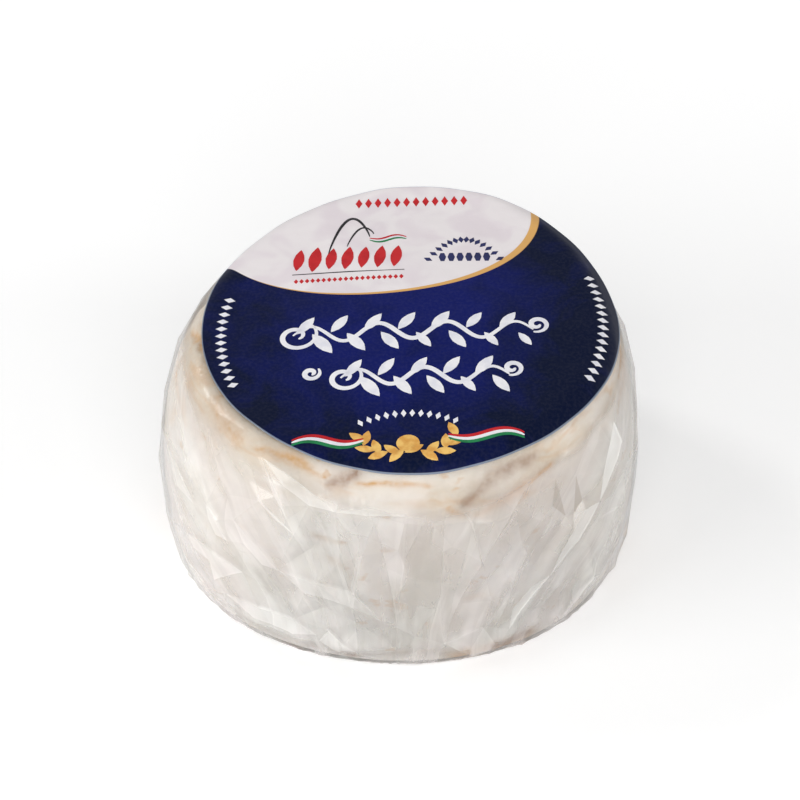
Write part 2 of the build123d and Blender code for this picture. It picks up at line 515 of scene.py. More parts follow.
@dataclass(frozen=True)
class LabelFinish:
    """Printed label paper: a mottled navy ground, darker toward its rim and its right side as painted shade,
    a pale field at the back, and a gold line between.

    The two fields are scoops, each given as the middle and the reach of its half ellipse, in label radii.
    """

    navy: Colour = linear(14, 24, 94)
    # The deep navy serves both the printed mottle and the painted shade at the rim and the right.
    deep: Colour = linear(3, 14, 44)
    pale: Colour = linear(238, 232, 233)
    rosy: Colour = linear(230, 221, 225)
    cut: Colour = linear(176, 188, 206)
    gold: Colour = linear(222, 172, 104)
    gold_scoop: tuple[Flat, Flat] = ((-0.19, 0.74), (0.825, 0.565))
    pale_scoop: tuple[Flat, Flat] = ((-0.215, 0.745), (0.81, 0.557))
    mottle_scale: float = 3.6
    rumple_scale: float = 4.6
    wave_scale: float = 4.0
    fibre_scale: float = 60.0
    # Painted shade: the navy darkens toward the rim and toward the right side.
    painted_shade_rim: Step = (0.25, 0.98)
    painted_shade_right: Step = (0.1, 0.9, 0.0, 0.35)
    rumple_cover: Step = (0.42, 0.62)
    cut_rim: Step = (0.9940, 0.9965, 0.0, 0.50)
    fibre_cover: Step = (0.4, 0.65, 0.0, 0.012)
    gloss: Step = (0.3, 0.7, 0.30, 0.38)
    scoop_edge: Step = (1.006, 0.994)
    wave_relief: float = 1.2 * MM
    sheen: Sheen = Sheen(1.15, 0.06)

    def build(self, uv_name: str, units: float) -> bpy.types.Material:
        """Builds the label's material.

        Args:
            uv_name: The UV map that lies flat on the label.
            units: How many label radii the whole UV square is wide.

        Returns:
            The material.
        """
        made = Finish("label_paper")
        graph = made.graph
        flat = graph.add("ShaderNodeUVMap", uv_map=uv_name).outputs[0]
        spread = graph.stretch(flat, (units, units, 1.0), (-units / 2, -units / 2, 0.0))
        across, along, _ = graph.parts(spread)
        reach = graph.length(across, along)
        # Painted shade toward the rim and the right, mixed with the printed mottle.
        painted_shade_and_mottle = graph.plus(graph.step(reach, *self.painted_shade_rim), graph.step(across, *self.painted_shade_right))
        mottle = graph.grain(spread, self.mottle_scale, 4.0, 0.6, 0.7)
        painted_shade_and_mottle = graph.plus(graph.times(painted_shade_and_mottle, 0.8), graph.times_plus(mottle, 1.8, -0.85), clamp=True)
        rumpled = graph.step(graph.grain(spread, self.rumple_scale, 2.0, 0.5, 0.5), *self.rumple_cover)
        fibre = graph.grain(spread, self.fibre_scale, 3.0, 0.6)
        ground = graph.blend(painted_shade_and_mottle, self.navy, self.deep)
        ground = graph.blend(self.scoop(graph, across, along, self.gold_scoop), ground, self.gold)
        ground = graph.blend(self.scoop(graph, across, along, self.pale_scoop), ground,
                             graph.blend(rumpled, self.pale, self.rosy))
        ground = graph.blend(graph.step(reach, *self.cut_rim), ground, self.cut)
        ground = graph.blend(graph.step(fibre, *self.fibre_cover), ground, GREY)
        wave = graph.plus(graph.grain(spread, self.wave_scale, 2.0), graph.times(fibre, 0.03))
        rough = graph.step(fibre, *self.gloss)
        return made.end(self.sheen.lay(graph, ground, rough, graph.bump(wave, 0.35, self.wave_relief)))

    def scoop(self, graph: Graph, across: Socket, along: Socket, shape: tuple[Flat, Flat]) -> Socket:
        """Tells how far a place is inside a scoop: a half ellipse with straight sides above its middle.

        Args:
            graph: The graph to wire.
            across: The place to the right, in label radii.
            along: The place to the back, in label radii.
            shape: The ellipse's middle, and its half width and half depth.

        Returns:
            A socket that is 1 inside and 0 outside.
        """
        middle, reach = shape
        side = graph.over(graph.minus(across, middle[0]), reach[0])
        below = graph.over(graph.math("MINIMUM", graph.minus(along, middle[1]), 0.0), reach[1])
        return graph.step(graph.plus(graph.times(side, side), graph.times(below, below)), *self.scoop_edge)


@dataclass(frozen=True)
class InkFinish:
    """A printed ink, slightly uneven, as bright as the paper below it."""

    name: str
    colour: Colour
    worn: Colour
    gloss: float = 0.38
    patch_scale: float = 420.0
    fibre_scale: float = 1600.0
    sheen: Sheen = Sheen(1.28, 0.10)

    def build(self) -> bpy.types.Material:
        """Builds the ink's material.

        Returns:
            The material.
        """
        made = Finish(self.name)
        graph, place = made.graph, made.place()
        patches = graph.step(graph.grain(place, self.patch_scale, 3.0), 0.40, 0.66)
        fibre = graph.grain(place, self.fibre_scale, 2.0)
        rough = graph.step(fibre, 0.3, 0.7, self.gloss - 0.04, self.gloss + 0.06)
        body = graph.blend(patches, self.colour, self.worn)
        return made.end(self.sheen.lay(graph, body, rough, graph.bump(fibre, 0.15, 0.1 * MM)))


class Ink(Enum):
    """The inks on the label."""

    RED = InkFinish("red_ink", linear(198, 34, 40), linear(184, 26, 34))
    GREEN = InkFinish("green_ink", linear(34, 128, 76), linear(28, 112, 64))
    NAVY = InkFinish("navy_ink", linear(38, 42, 92), linear(30, 34, 78))
    WHITE = InkFinish("white_ink", linear(240, 239, 242), linear(226, 226, 234))
    GOLD = InkFinish("gold_ink", linear(240, 196, 112), linear(216, 158, 78), 0.34)
    BLACK = InkFinish("black_ink", linear(30, 28, 32), linear(44, 42, 46))


@dataclass(frozen=True)
class WheelForm:
    """The rule that the cheese, the film and the label all follow, in metres.

    Its profile is a flat base, a rounded foot, a bulging side, a shoulder and a gently domed top.
    """

    radius: float = 43.8 * MM
    height: float = 46.2 * MM
    widest_height: float = 17.0 * MM
    foot_radius: float = 3.0 * MM
    foot_inset: float = 1.6 * MM
    shoulder_width: float = 8.8 * MM
    shoulder_power: float = 2.2
    dome_height: float = 1.0 * MM
    oval: float = 0.019
    three_sided: float = 0.028
    oval_turn: float = radians(63)
    three_sided_turn: float = radians(82)
    rise_right: float = 1.8 * MM
    rise_back: float = 1.2 * MM
    base_gap: float = 0.25 * MM
    middle: Flat = (0.0, 0.0)
    under_steps: int = 8
    foot_steps: int = 13
    side_steps: int = 13
    shoulder_steps: int = 46
    top_steps: int = 31

    def profile(self, growth: float, start: float) -> tuple[np.ndarray, np.ndarray]:
        """Works out the profile from the underside, out round the foot and up to the middle of the top.

        Args:
            growth: How far the profile is offset outward.
            start: The radius on the underside at which it starts.

        Returns:
            The radii and the heights.
        """
        side = self.radius - self.foot_inset
        under = np.linspace(start, side - self.foot_radius, self.under_steps)
        turn = np.radians(np.linspace(90, 0, self.foot_steps))[1:]
        share = np.linspace(0, 1, self.side_steps)[1:]
        roll = np.radians(np.linspace(0, 90, self.shoulder_steps))[1:]
        top = np.linspace(1, 0, self.top_steps)[1:]
        rim = self.radius - self.shoulder_width
        over = np.abs(np.cos(roll)) ** (2 / self.shoulder_power)
        up = np.sin(roll) ** (2 / self.shoulder_power)
        radii = np.concatenate([
            under,
            side + growth - self.foot_radius * (1 - np.cos(turn)),
            self.radius - self.foot_inset * (1 - share) ** 2 + growth,
            rim + (self.shoulder_width + growth) * over,
            rim * top])
        heights = np.concatenate([
            under * 0,
            self.foot_radius * (1 - np.sin(turn)),
            self.foot_radius + (self.widest_height - self.foot_radius) * share,
            self.widest_height + (self.height + growth - self.widest_height) * up,
            self.height + growth + self.dome_height * (0.5 + 0.5 * np.cos(pi * top))])
        return radii, heights

    def wave(self, angle: np.ndarray) -> np.ndarray:
        """Tells how far from round the plan is at an angle, as a factor of the radius."""
        two_sided = self.oval * np.cos(2 * (angle - self.oval_turn))
        return 1 + two_sided + self.three_sided * np.cos(3 * (angle - self.three_sided_turn))

    def place(self, angle: np.ndarray, radius: np.ndarray, height: np.ndarray) -> np.ndarray:
        """Puts a place of the profile in space, with the plan's waves and the top's tilt.

        Args:
            angle: Angles about the wheel's axis.
            radius: Radii of the profile.
            height: Heights of the profile.

        Returns:
            An array of points.
        """
        across = radius * self.wave(angle) * np.cos(angle)
        along = radius * self.wave(angle) * np.sin(angle)
        share = np.clip((height - self.widest_height) / (self.height - self.widest_height), 0, 1)
        tilt = share * (self.rise_right * across + self.rise_back * along) / self.radius
        return np.stack([across - self.middle[0], along - self.middle[1], self.base_gap + height + tilt], -1)

    def centred(self, low: Vector, high: Vector) -> "WheelForm":
        """Moves the wheel's axis so that it fills a box as the solid cheese does.

        Args:
            low: The box's lowest corner.
            high: The box's highest corner.

        Returns:
            The same form with its axis in place.
        """
        angle = np.linspace(0, tau, 721)
        widest = self.place(angle, np.full_like(angle, self.radius), np.full_like(angle, self.widest_height))
        middle = (widest.max(0) + widest.min(0)) / 2
        shift = (middle[0] - (low.x + high.x) / 2, middle[1] - (low.y + high.y) / 2)
        log.info("axis %.2f %.2f mm from the middle", shift[0] / MM, shift[1] / MM)
        return replace(self, middle=shift)

    def top_height(self, across: np.ndarray, along: np.ndarray, growth: float) -> np.ndarray:
        """Finds how high the top and shoulder are over places in plan.

        Args:
            across: Places to the right.
            along: Places to the back.
            growth: How far the surface is offset outward.

        Returns:
            The heights.
        """
        radii, heights = self.profile(growth, 0.0)
        first = int(np.argmax(radii))
        x, y = across + self.middle[0], along + self.middle[1]
        angle = np.arctan2(y, x)
        level = np.interp(np.hypot(x, y) / self.wave(angle), radii[first:][::-1], heights[first:][::-1])
        share = np.clip((level - self.widest_height) / (self.height - self.widest_height), 0, 1)
        return self.base_gap + level + share * (self.rise_right * x + self.rise_back * y) / self.radius


def plain_object(name: str, mesh: bpy.types.Mesh) -> bpy.types.Object:
    """Links a mesh as an object at the origin."""
    made = bpy.data.objects.new(name, mesh)
    bpy.context.scene.collection.objects.link(made)
    return made


def closed_sheet(name: str, upper: np.ndarray, lower: np.ndarray,
                 faces: Sequence[Sequence[int]]) -> bpy.types.Mesh:
    """Makes a thin closed sheet from its upper faces and the places of its upper and lower points.

    Args:
        name: The mesh's name.
        upper: The upper points.
        lower: The lower points, one below each upper one.
        faces: The upper faces, anticlockwise from above.

    Returns:
        The mesh.
    """
    count = len(upper)
    edges: dict[tuple[int, int], int] = {}
    for face in faces:
        for one, two in zip(face, list(face[1:]) + [face[0]]):
            edges[(one, two)] = 1
    walls = [(two, one, one + count, two + count) for one, two in edges if (two, one) not in edges]
    under = [[corner + count for corner in reversed(face)] for face in faces]
    mesh = bpy.data.meshes.new(name)
    above = [list(face) for face in faces]
    mesh.from_pydata(np.concatenate([upper, lower]).tolist(), [], above + under + walls)
    mesh.validate()
    mesh.update()
    return mesh


def store(mesh: bpy.types.Mesh, name: str, values: np.ndarray, domain: str = "POINT") -> None:
    """Stores numbers or vectors as an attribute of a mesh.

    Args:
        mesh: The mesh.
        name: The attribute's name.
        values: One number or vector for each element.
        domain: What the elements are.
    """
    kind, key = ("FLOAT_VECTOR", "vector") if values.ndim > 1 else ("FLOAT", "value")
    mesh.attributes.new(name, kind, domain).data.foreach_set(key, values.ravel())


def grow_plain(piece: bpy.types.Object, tree: bpy.types.NodeTree,
               sizes: dict[str, Union[Value, bpy.types.Material]]) -> bpy.types.Object:
    """Runs a Geometry Nodes tree on an object and leaves the result as its plain mesh.

    Args:
        piece: The object to run it on.
        tree: The tree.
        sizes: For each named input, its value.

    Returns:
        The same object, with no modifier left.
    """
    modifier = piece.modifiers.new(tree.name, "NODES")
    modifier.node_group = tree
    for item in tree.interface.items_tree:
        if item.item_type == "SOCKET" and item.in_out == "INPUT" and item.name in sizes:
            modifier[item.identifier] = sizes[item.name]
    graph = bpy.context.evaluated_depsgraph_get()
    mesh = bpy.data.meshes.new_from_object(piece.evaluated_get(graph), depsgraph=graph)
    piece.modifiers.remove(modifier)
    piece.data = mesh
    return piece


class ShapeTree:
    """A Geometry Nodes tree with named inputs, ending in Realize Instances and Set Material."""

    def __init__(self, name: str) -> None:
        """Starts an empty tree."""
        self.tree = bpy.data.node_groups.new(name, "GeometryNodeTree")
        self.tree.interface.new_socket(name="Geometry", in_out="OUTPUT", socket_type="NodeSocketGeometry")
        self.graph = Graph(self.tree)
        self.entry = self.graph.add("NodeGroupInput")

    def size(self, name: str, kind: str = "Float") -> Socket:
        """Adds a named input."""
        self.tree.interface.new_socket(name=name, in_out="INPUT", socket_type="NodeSocket" + kind)
        return self.entry.outputs[name]

    def finish(self, shape: Socket, material: Socket) -> bpy.types.NodeTree:
        """Ends the tree.

        Args:
            shape: The geometry's socket.
            material: The material's socket.

        Returns:
            The finished tree.
        """
        real = self.graph.add("GeometryNodeRealizeInstances", {"Geometry": shape}).outputs[0]
        dressed = self.graph.add("GeometryNodeSetMaterial", {"Geometry": real, "Material": material})
        self.graph.add("NodeGroupOutput", {0: dressed.outputs[0]})
        return self.tree


@dataclass(frozen=True)
class Crease:
    """A crease in the rind: its route, its size, how strongly it is stained ochre, and how brown it is,
    partly as stain and partly as painted shade.

    The route is given as angles in degrees and heights in millimetres.
    """

    route: tuple[Flat, ...]
    half_width: float
    depth: float
    ochre: float = 0.0
    # How brown the crease is: partly stain, partly painted shade.
    brown: float = 0.0


@dataclass
class CheeseWheel:
    """The uncut cheese: the wheel's rule turned round its axis, with a wrinkled shoulder and soft dents.

    Each groove is a lowest height, a sway, how often it wanders, and a half width.
    """

    form: WheelForm
    finish: RindFinish = field(default_factory=RindFinish)
    spokes: int = 384
    rows: int = 170
    wrinkle: float = 0.42 * MM
    dent: float = 0.25 * MM
    lump_scale: float = 70.0
    still_foot: Step = (1.5 * MM, 6.0 * MM)
    groove_fade: Step = (-30.0 * MM, -5.0 * MM, 0.25, 0.9)
    grooves: tuple[tuple[float, ...], ...] = (
        (37.2 * MM, 14.0 * MM, 62.0, 0.8 * MM),
        (33.8 * MM, 9.0 * MM, 38.0, 1.0 * MM),
    )
    weld: float = 0.02 * MM
    seed: int = 1
    ragged_scale: float = 420.0
    ragged_reach: float = 0.45 * MM
    broken_scale: float = 170.0
    broken_range: Flat = (0.35, 1.0)
    crease_steps: int = 400
    crease_thin: float = 0.35
    border_share: float = 0.35
    border_width: float = 2.1
    creases: tuple[Crease, ...] = (
        Crease(((-131, 43.0), (-127, 43.6), (-123, 43.7), (-119, 43.6), (-115, 43.0), (-110, 42.3)),
               0.62 * MM, 0.12 * MM, ochre=1.0),
        Crease(((-102, 42.3), (-97, 42.8), (-92, 42.9), (-86, 42.7), (-82, 42.4)),
               0.42 * MM, 0.10 * MM, ochre=0.9),
        Crease(((-79, 38.7), (-77, 37.3), (-73, 36.6), (-70, 37.0), (-66, 37.7), (-61, 38.9), (-55, 40.1),
                (-50, 41.3)), 0.66 * MM, 0.15 * MM, ochre=1.0),
        # These two brown creases under the label's front edge are mostly painted shade.
        Crease(((-109, 41.0), (-106, 42.3), (-104, 43.2), (-102, 44.0)), 1.1 * MM, 0.35 * MM, brown=0.85),
        Crease(((-75, 38.6), (-73, 39.6), (-70, 41.1), (-67, 42.4), (-64, 43.3), (-59, 43.5), (-54, 43.6)),
               1.15 * MM, 0.50 * MM, brown=0.75),
        Crease(((-166, 33.0), (-162, 38.4), (-164, 43.0), (-170, 44.8)), 1.6 * MM, 0.15 * MM, ochre=0.35),
        Crease(((-152, 44.3), (-144, 43.6), (-136, 43.2)), 1.5 * MM, 0.15 * MM, ochre=0.40, brown=0.2),
        Crease(((-4, 41.6), (-11, 40.2), (-23, 41.0), (-32, 40.6)),
               1.1 * MM, 0.20 * MM, ochre=0.40, brown=0.2),
        Crease(((-112, 32.0), (-108, 31.4), (-103, 31.1)), 0.32 * MM, 0.15 * MM, ochre=0.9, brown=0.5),
        Crease(((-108, 27.6), (-105, 26.2), (-103, 25.4)), 0.32 * MM, 0.15 * MM, ochre=0.9, brown=0.5),
        # Brown at the foot: partly the rind's own brown edge, partly painted contact shade.
        Crease(((-113, 3.6), (-107, 4.4), (-102, 2.4)), 1.5 * MM, 0.20 * MM, brown=0.9),
        Crease(((-69, 2.6), (-63, 2.8), (-57, 3.6)), 1.1 * MM, 0.20 * MM, ochre=0.3, brown=0.8),
        Crease(((95, 41.0), (104, 42.4), (118, 41.8), (131, 42.6)), 0.7 * MM, 0.20 * MM, ochre=0.8),
        Crease(((38, 40.0), (30, 41.6), (20, 42.8), (12, 42.6)), 0.8 * MM, 0.35 * MM, ochre=0.4, brown=0.4),
        Crease(((152, 39.0), (160, 41.2), (166, 43.2)), 0.9 * MM, 0.45 * MM, brown=0.6),
    )

    def turned_tree(self) -> bpy.types.NodeTree:
        """Builds the tree that turns the profile round the axis and wrinkles the rind.

        Returns:
            The tree.
        """
        shape = ShapeTree("turned_wheel")
        graph, form = shape.graph, self.form
        reach, rise = shape.size("Widest radius"), shape.size("Top height")
        oval, three = shape.size("Oval"), shape.size("Three sided")
        right, back = shape.size("Rise right"), shape.size("Rise back")
        middle_x, middle_y = shape.size("Middle right"), shape.size("Middle back")
        wrinkle, dent = shape.size("Wrinkle height"), shape.size("Dent depth")
        spokes, rows = shape.size("Spokes", "Int"), shape.size("Rows", "Int")
        material = shape.size("Rind", "Material")
        sizes = {"Size X": 1.0, "Size Y": 1.0, "Vertices X": spokes, "Vertices Y": rows}
        grid = graph.add("GeometryNodeMeshGrid", sizes).outputs["Mesh"]
        column, row, _ = graph.parts(graph.add("GeometryNodeInputPosition").outputs[0])
        angle = graph.times(graph.plus(column, 0.5), tau)
        share = graph.plus(row, 0.5)
        radii, heights = form.profile(0.0, 0.0)
        radius = graph.times(self.profile_curve(graph, share, radii / radii.max()), reach)
        height = graph.times(self.profile_curve(graph, share, heights / heights.max()), rise)
        two = graph.math("COSINE", graph.times_plus(angle, 2.0, -2 * form.oval_turn))
        waves = graph.math("COSINE", graph.times_plus(angle, 3.0, -3 * form.three_sided_turn))
        radius = graph.times(radius, graph.times_plus(two, oval, graph.times_plus(waves, three, 1.0)))
        across = graph.times(radius, graph.math("COSINE", angle))
        along = graph.times(radius, graph.math("SINE", angle))
        span = form.height - form.widest_height
        level = graph.over(graph.minus(height, form.widest_height), span, clamp=True)
        lean = graph.times_plus(across, right, graph.times(along, back))
        height = graph.plus(graph.plus(height, form.base_gap), graph.times(level, graph.over(lean, reach)))
        spot = graph.joined(graph.minus(across, middle_x), graph.minus(along, middle_y), height)
        turned = graph.add("GeometryNodeSetPosition", {"Geometry": grid, "Position": spot}).outputs[0]
        merged = graph.add("GeometryNodeMergeByDistance", {"Geometry": turned, "Distance": self.weld})
        return shape.finish(self.wrinkled(graph, merged.outputs[0], wrinkle, dent), material)

    def wrinkled(self, graph: Graph, plain: Socket, wrinkle: Socket, dent: Socket) -> Socket:
        """Dents the rind, and presses broken grooves into it that are deeper towards the back.

        Args:
            graph: The graph to wire.
            plain: The plain wheel's geometry.
            wrinkle: The grooves' depth.
            dent: The dents' depth.

        Returns:
            The wrinkled geometry's socket, with the attribute hollow.
        """
        place = graph.add("GeometryNodeInputPosition").outputs[0]
        _, back, up = graph.parts(place)
        upper, lower = (self.wavy_line(graph, place, up, *groove) for groove in self.grooves)
        groove = graph.times(graph.math("MAXIMUM", upper, lower), graph.step(back, *self.groove_fade))
        lumps = graph.times_plus(graph.grain(place, self.lump_scale, 2.0), 2.0, -1.0)
        push = graph.times_plus(lumps, dent, graph.times(groove, graph.times(wrinkle, -1.0)))
        push = graph.times(push, graph.step(up, *self.still_foot))
        outward = graph.add("GeometryNodeInputNormal").outputs[0]
        offset = graph.add("ShaderNodeVectorMath", {0: outward, "Scale": push}, operation="SCALE").outputs[0]
        values = {"Geometry": plain, "Name": "hollow", "Value": groove}
        marked = graph.add("GeometryNodeStoreNamedAttribute", values, data_type="FLOAT", domain="POINT")
        values = {"Geometry": marked.outputs[0], "Offset": offset}
        pushed = graph.add("GeometryNodeSetPosition", values).outputs[0]
        return graph.add("GeometryNodeSetShadeSmooth", {"Geometry": pushed, "Shade Smooth": True}).outputs[0]

    @staticmethod
    def wavy_line(graph: Graph, place: Socket, up: Socket, level: float, sway: float, scale: float,
                  width: float) -> Socket:
        """Adds a broken, wandering line round the wheel.

        Args:
            graph: The graph to wire.
            place: The place's socket.
            up: The height's socket.
            level: The lowest height of the line.
            sway: How far it wanders up.
            scale: How often it wanders.
            width: Its half width.

        Returns:
            A socket that is 1 on the line.
        """
        height = graph.times_plus(graph.grain(place, scale, 3.0, 0.55, 0.6), sway, level)
        away = graph.math("ABSOLUTE", graph.minus(up, height))
        broken = graph.step(graph.grain(place, scale * 0.8, 2.0), 0.43, 0.55)
        return graph.times(graph.step(away, 0.0, width, 1.0, 0.0), broken)

    @staticmethod
    def profile_curve(graph: Graph, share: Socket, values: np.ndarray) -> Socket:
        """Adds a curve that gives the profile's radius or height at a share of its length.

        Args:
            graph: The graph to wire.
            share: The share's socket.
            values: The profile's values, 0 to 1, evenly spaced in share.

        Returns:
            The value's socket.
        """
        node = graph.add("ShaderNodeFloatCurve", {"Value": share})
        curve = node.mapping.curves[0]
        last = len(values) - 1
        curve.points[0].location = (0.0, float(values[0]))
        curve.points[1].location = (1.0, float(values[last]))
        for step in range(1, last):
            curve.points.new(step / last, float(values[step]))
        for point in curve.points:
            point.handle_type = "VECTOR"
        node.mapping.update()
        return node.outputs[0]

    def build(self) -> bpy.types.Object:
        """Builds the cheese.

        Returns:
            The cheese's object.
        """
        form = self.form
        radii, heights = form.profile(0.0, 0.0)
        piece = plain_object("rind_wheel", bpy.data.meshes.new("rind_wheel"))
        sizes = {"Widest radius": float(radii.max()), "Top height": float(heights.max()), "Oval": form.oval,
                 "Three sided": form.three_sided, "Rise right": form.rise_right, "Rise back": form.rise_back,
                 "Middle right": form.middle[0], "Middle back": form.middle[1],
                 "Wrinkle height": self.wrinkle, "Dent depth": self.dent,
                 "Spokes": self.spokes + 1, "Rows": self.rows, "Rind": self.finish.build()}
        grow_plain(piece, self.turned_tree(), sizes)
        self.press_creases(piece.data)
        return piece

    def press_creases(self, mesh: bpy.types.Mesh) -> None:
        """Presses the creases into the rind and marks their ochre stains and their brown, which is partly
        stain and partly painted shade.

        Args:
            mesh: The cheese's mesh.
        """
        count = len(mesh.vertices)
        places, outward, hollow = np.empty(count * 3), np.empty(count * 3), np.empty(count)
        mesh.vertices.foreach_get("co", places)
        mesh.vertices.foreach_get("normal", outward)
        mesh.attributes["hollow"].data.foreach_get("value", hollow)
        places, outward = places.reshape(-1, 3), outward.reshape(-1, 3)
        noise.seed_set(self.seed)
        shaken = np.array([noise.noise_vector(Vector(spot) * self.ragged_scale) for spot in places])
        ragged = places + shaken * self.ragged_reach
        broken = np.array([noise.noise(Vector(spot) * self.broken_scale) for spot in places])
        broken = np.clip(0.90 + broken * 0.9, *self.broken_range)
        crease_shade_and_brown, push = np.zeros(count), np.zeros(count)
        for crease in self.creases:
            near = self.nearness(crease, ragged)
            hollow = np.maximum(hollow, near * broken * crease.ochre)
            # Brown marks: partly stain, partly painted shade in the creases.
            crease_shade_and_brown = np.maximum(crease_shade_and_brown, near * broken * crease.brown)
            push = np.maximum(push, near * crease.depth)
        places = places - outward * push[:, None]
        mesh.vertices.foreach_set("co", places.ravel())
        mesh.attributes["hollow"].data.foreach_set("value", hollow)
        store(mesh, "crease_shade_and_brown", crease_shade_and_brown)
        mesh.update()

    def nearness(self, crease: Crease, places: np.ndarray) -> np.ndarray:
        """Tells how near places are to a crease.

        Args:
            crease: The crease.
            places: Points on the rind.

        Returns:
            1 on the crease, with a faint border, falling to 0 away from it.
        """
        radii, heights = self.form.profile(0.0, 0.0)
        first = int(np.argmax(radii))
        route = np.array(crease.route)
        levels = route[:, 1] * MM
        for _ in range(4):
            reach = np.where(levels > self.form.widest_height,
                             np.interp(levels, heights[first:], radii[first:]),
                             np.interp(levels, heights[:first + 1], radii[:first + 1]))
            corners = self.form.place(np.radians(route[:, 0]), reach, levels)
            levels = levels + route[:, 1] * MM - corners[:, 2]
        ends = np.linspace(0, len(corners) - 1, self.crease_steps)
        before = np.minimum(ends.astype(int), len(corners) - 2)
        share = (ends - before)[:, None]
        line = corners[before] * (1 - share) + corners[before + 1] * share
        taper = self.crease_thin + (1 - self.crease_thin) * np.sin(pi * np.linspace(0, 1, len(line))) ** 0.5
        away = np.full(len(places), np.inf)
        for spot, width in zip(line[::4], taper[::4]):
            away = np.minimum(away, np.linalg.norm(places - spot, axis=1) / (crease.half_width * width))
        border = np.exp(-(away / self.border_width) ** 2)
        return (1 - self.border_share) * np.exp(-away ** 2) + self.border_share * border


@dataclass(frozen=True)
class Facet:
    """A flat patch of film: its tone, painted highlight where above 0 and painted shade where below, its
    lift, how many of its sides are sharp, and its corners.

    The corners are given as angles in degrees and heights in millimetres, the lift in millimetres.
    """

    tone: float
    lift: float
    sharp_sides: int
    corners: tuple[Flat, ...]


@dataclass
class FilmLayout:
    """The film's coarse points and lines, as they are laid out on the flat chart of the wheel."""

    to_chart: Callable[[float, float], Vector]
    radius: float
    spots: list[Vector] = field(default_factory=list)
    lifts: list[float] = field(default_factory=list)
    edges: list[tuple[int, int]] = field(default_factory=list)
    pinches: dict[int, float] = field(default_factory=dict)
    known: dict[Flat, int] = field(default_factory=dict)
    sharp: int = 0

    def put(self, angle: float, height: float, lift: float) -> int:
        """Adds a place, if it isn't known yet.

        Args:
            angle: Its angle in degrees.
            height: Its height in millimetres.
            lift: How far it stands off, in millimetres.

        Returns:
            The place's number.
        """
        key = (angle, height)
        if key not in self.known:
            self.known[key] = len(self.spots)
            self.spots.append(self.to_chart(radians(angle), height * MM))
            self.lifts.append(lift * MM)
        return self.known[key]

    def clear(self, angle: float, height: float, room: float) -> bool:
        """Tells whether a place has room round it.

        Args:
            angle: Its angle in degrees.
            height: Its height in millimetres.
            room: The room, in metres on the wheel's side.

        Returns:
            Whether no other place is nearer.
        """
        spot = self.to_chart(radians(angle), height * MM)
        near = room * spot.length / self.radius
        return all((spot - other).length > near for other in self.spots)

    def crease(self, ends: list[int], pinch: float) -> None:
        """Joins places with a fold line and pinches it at the places between its ends."""
        self.edges += zip(ends, ends[1:])
        self.pinches.update({end: pinch for end in ends[1:-1]})


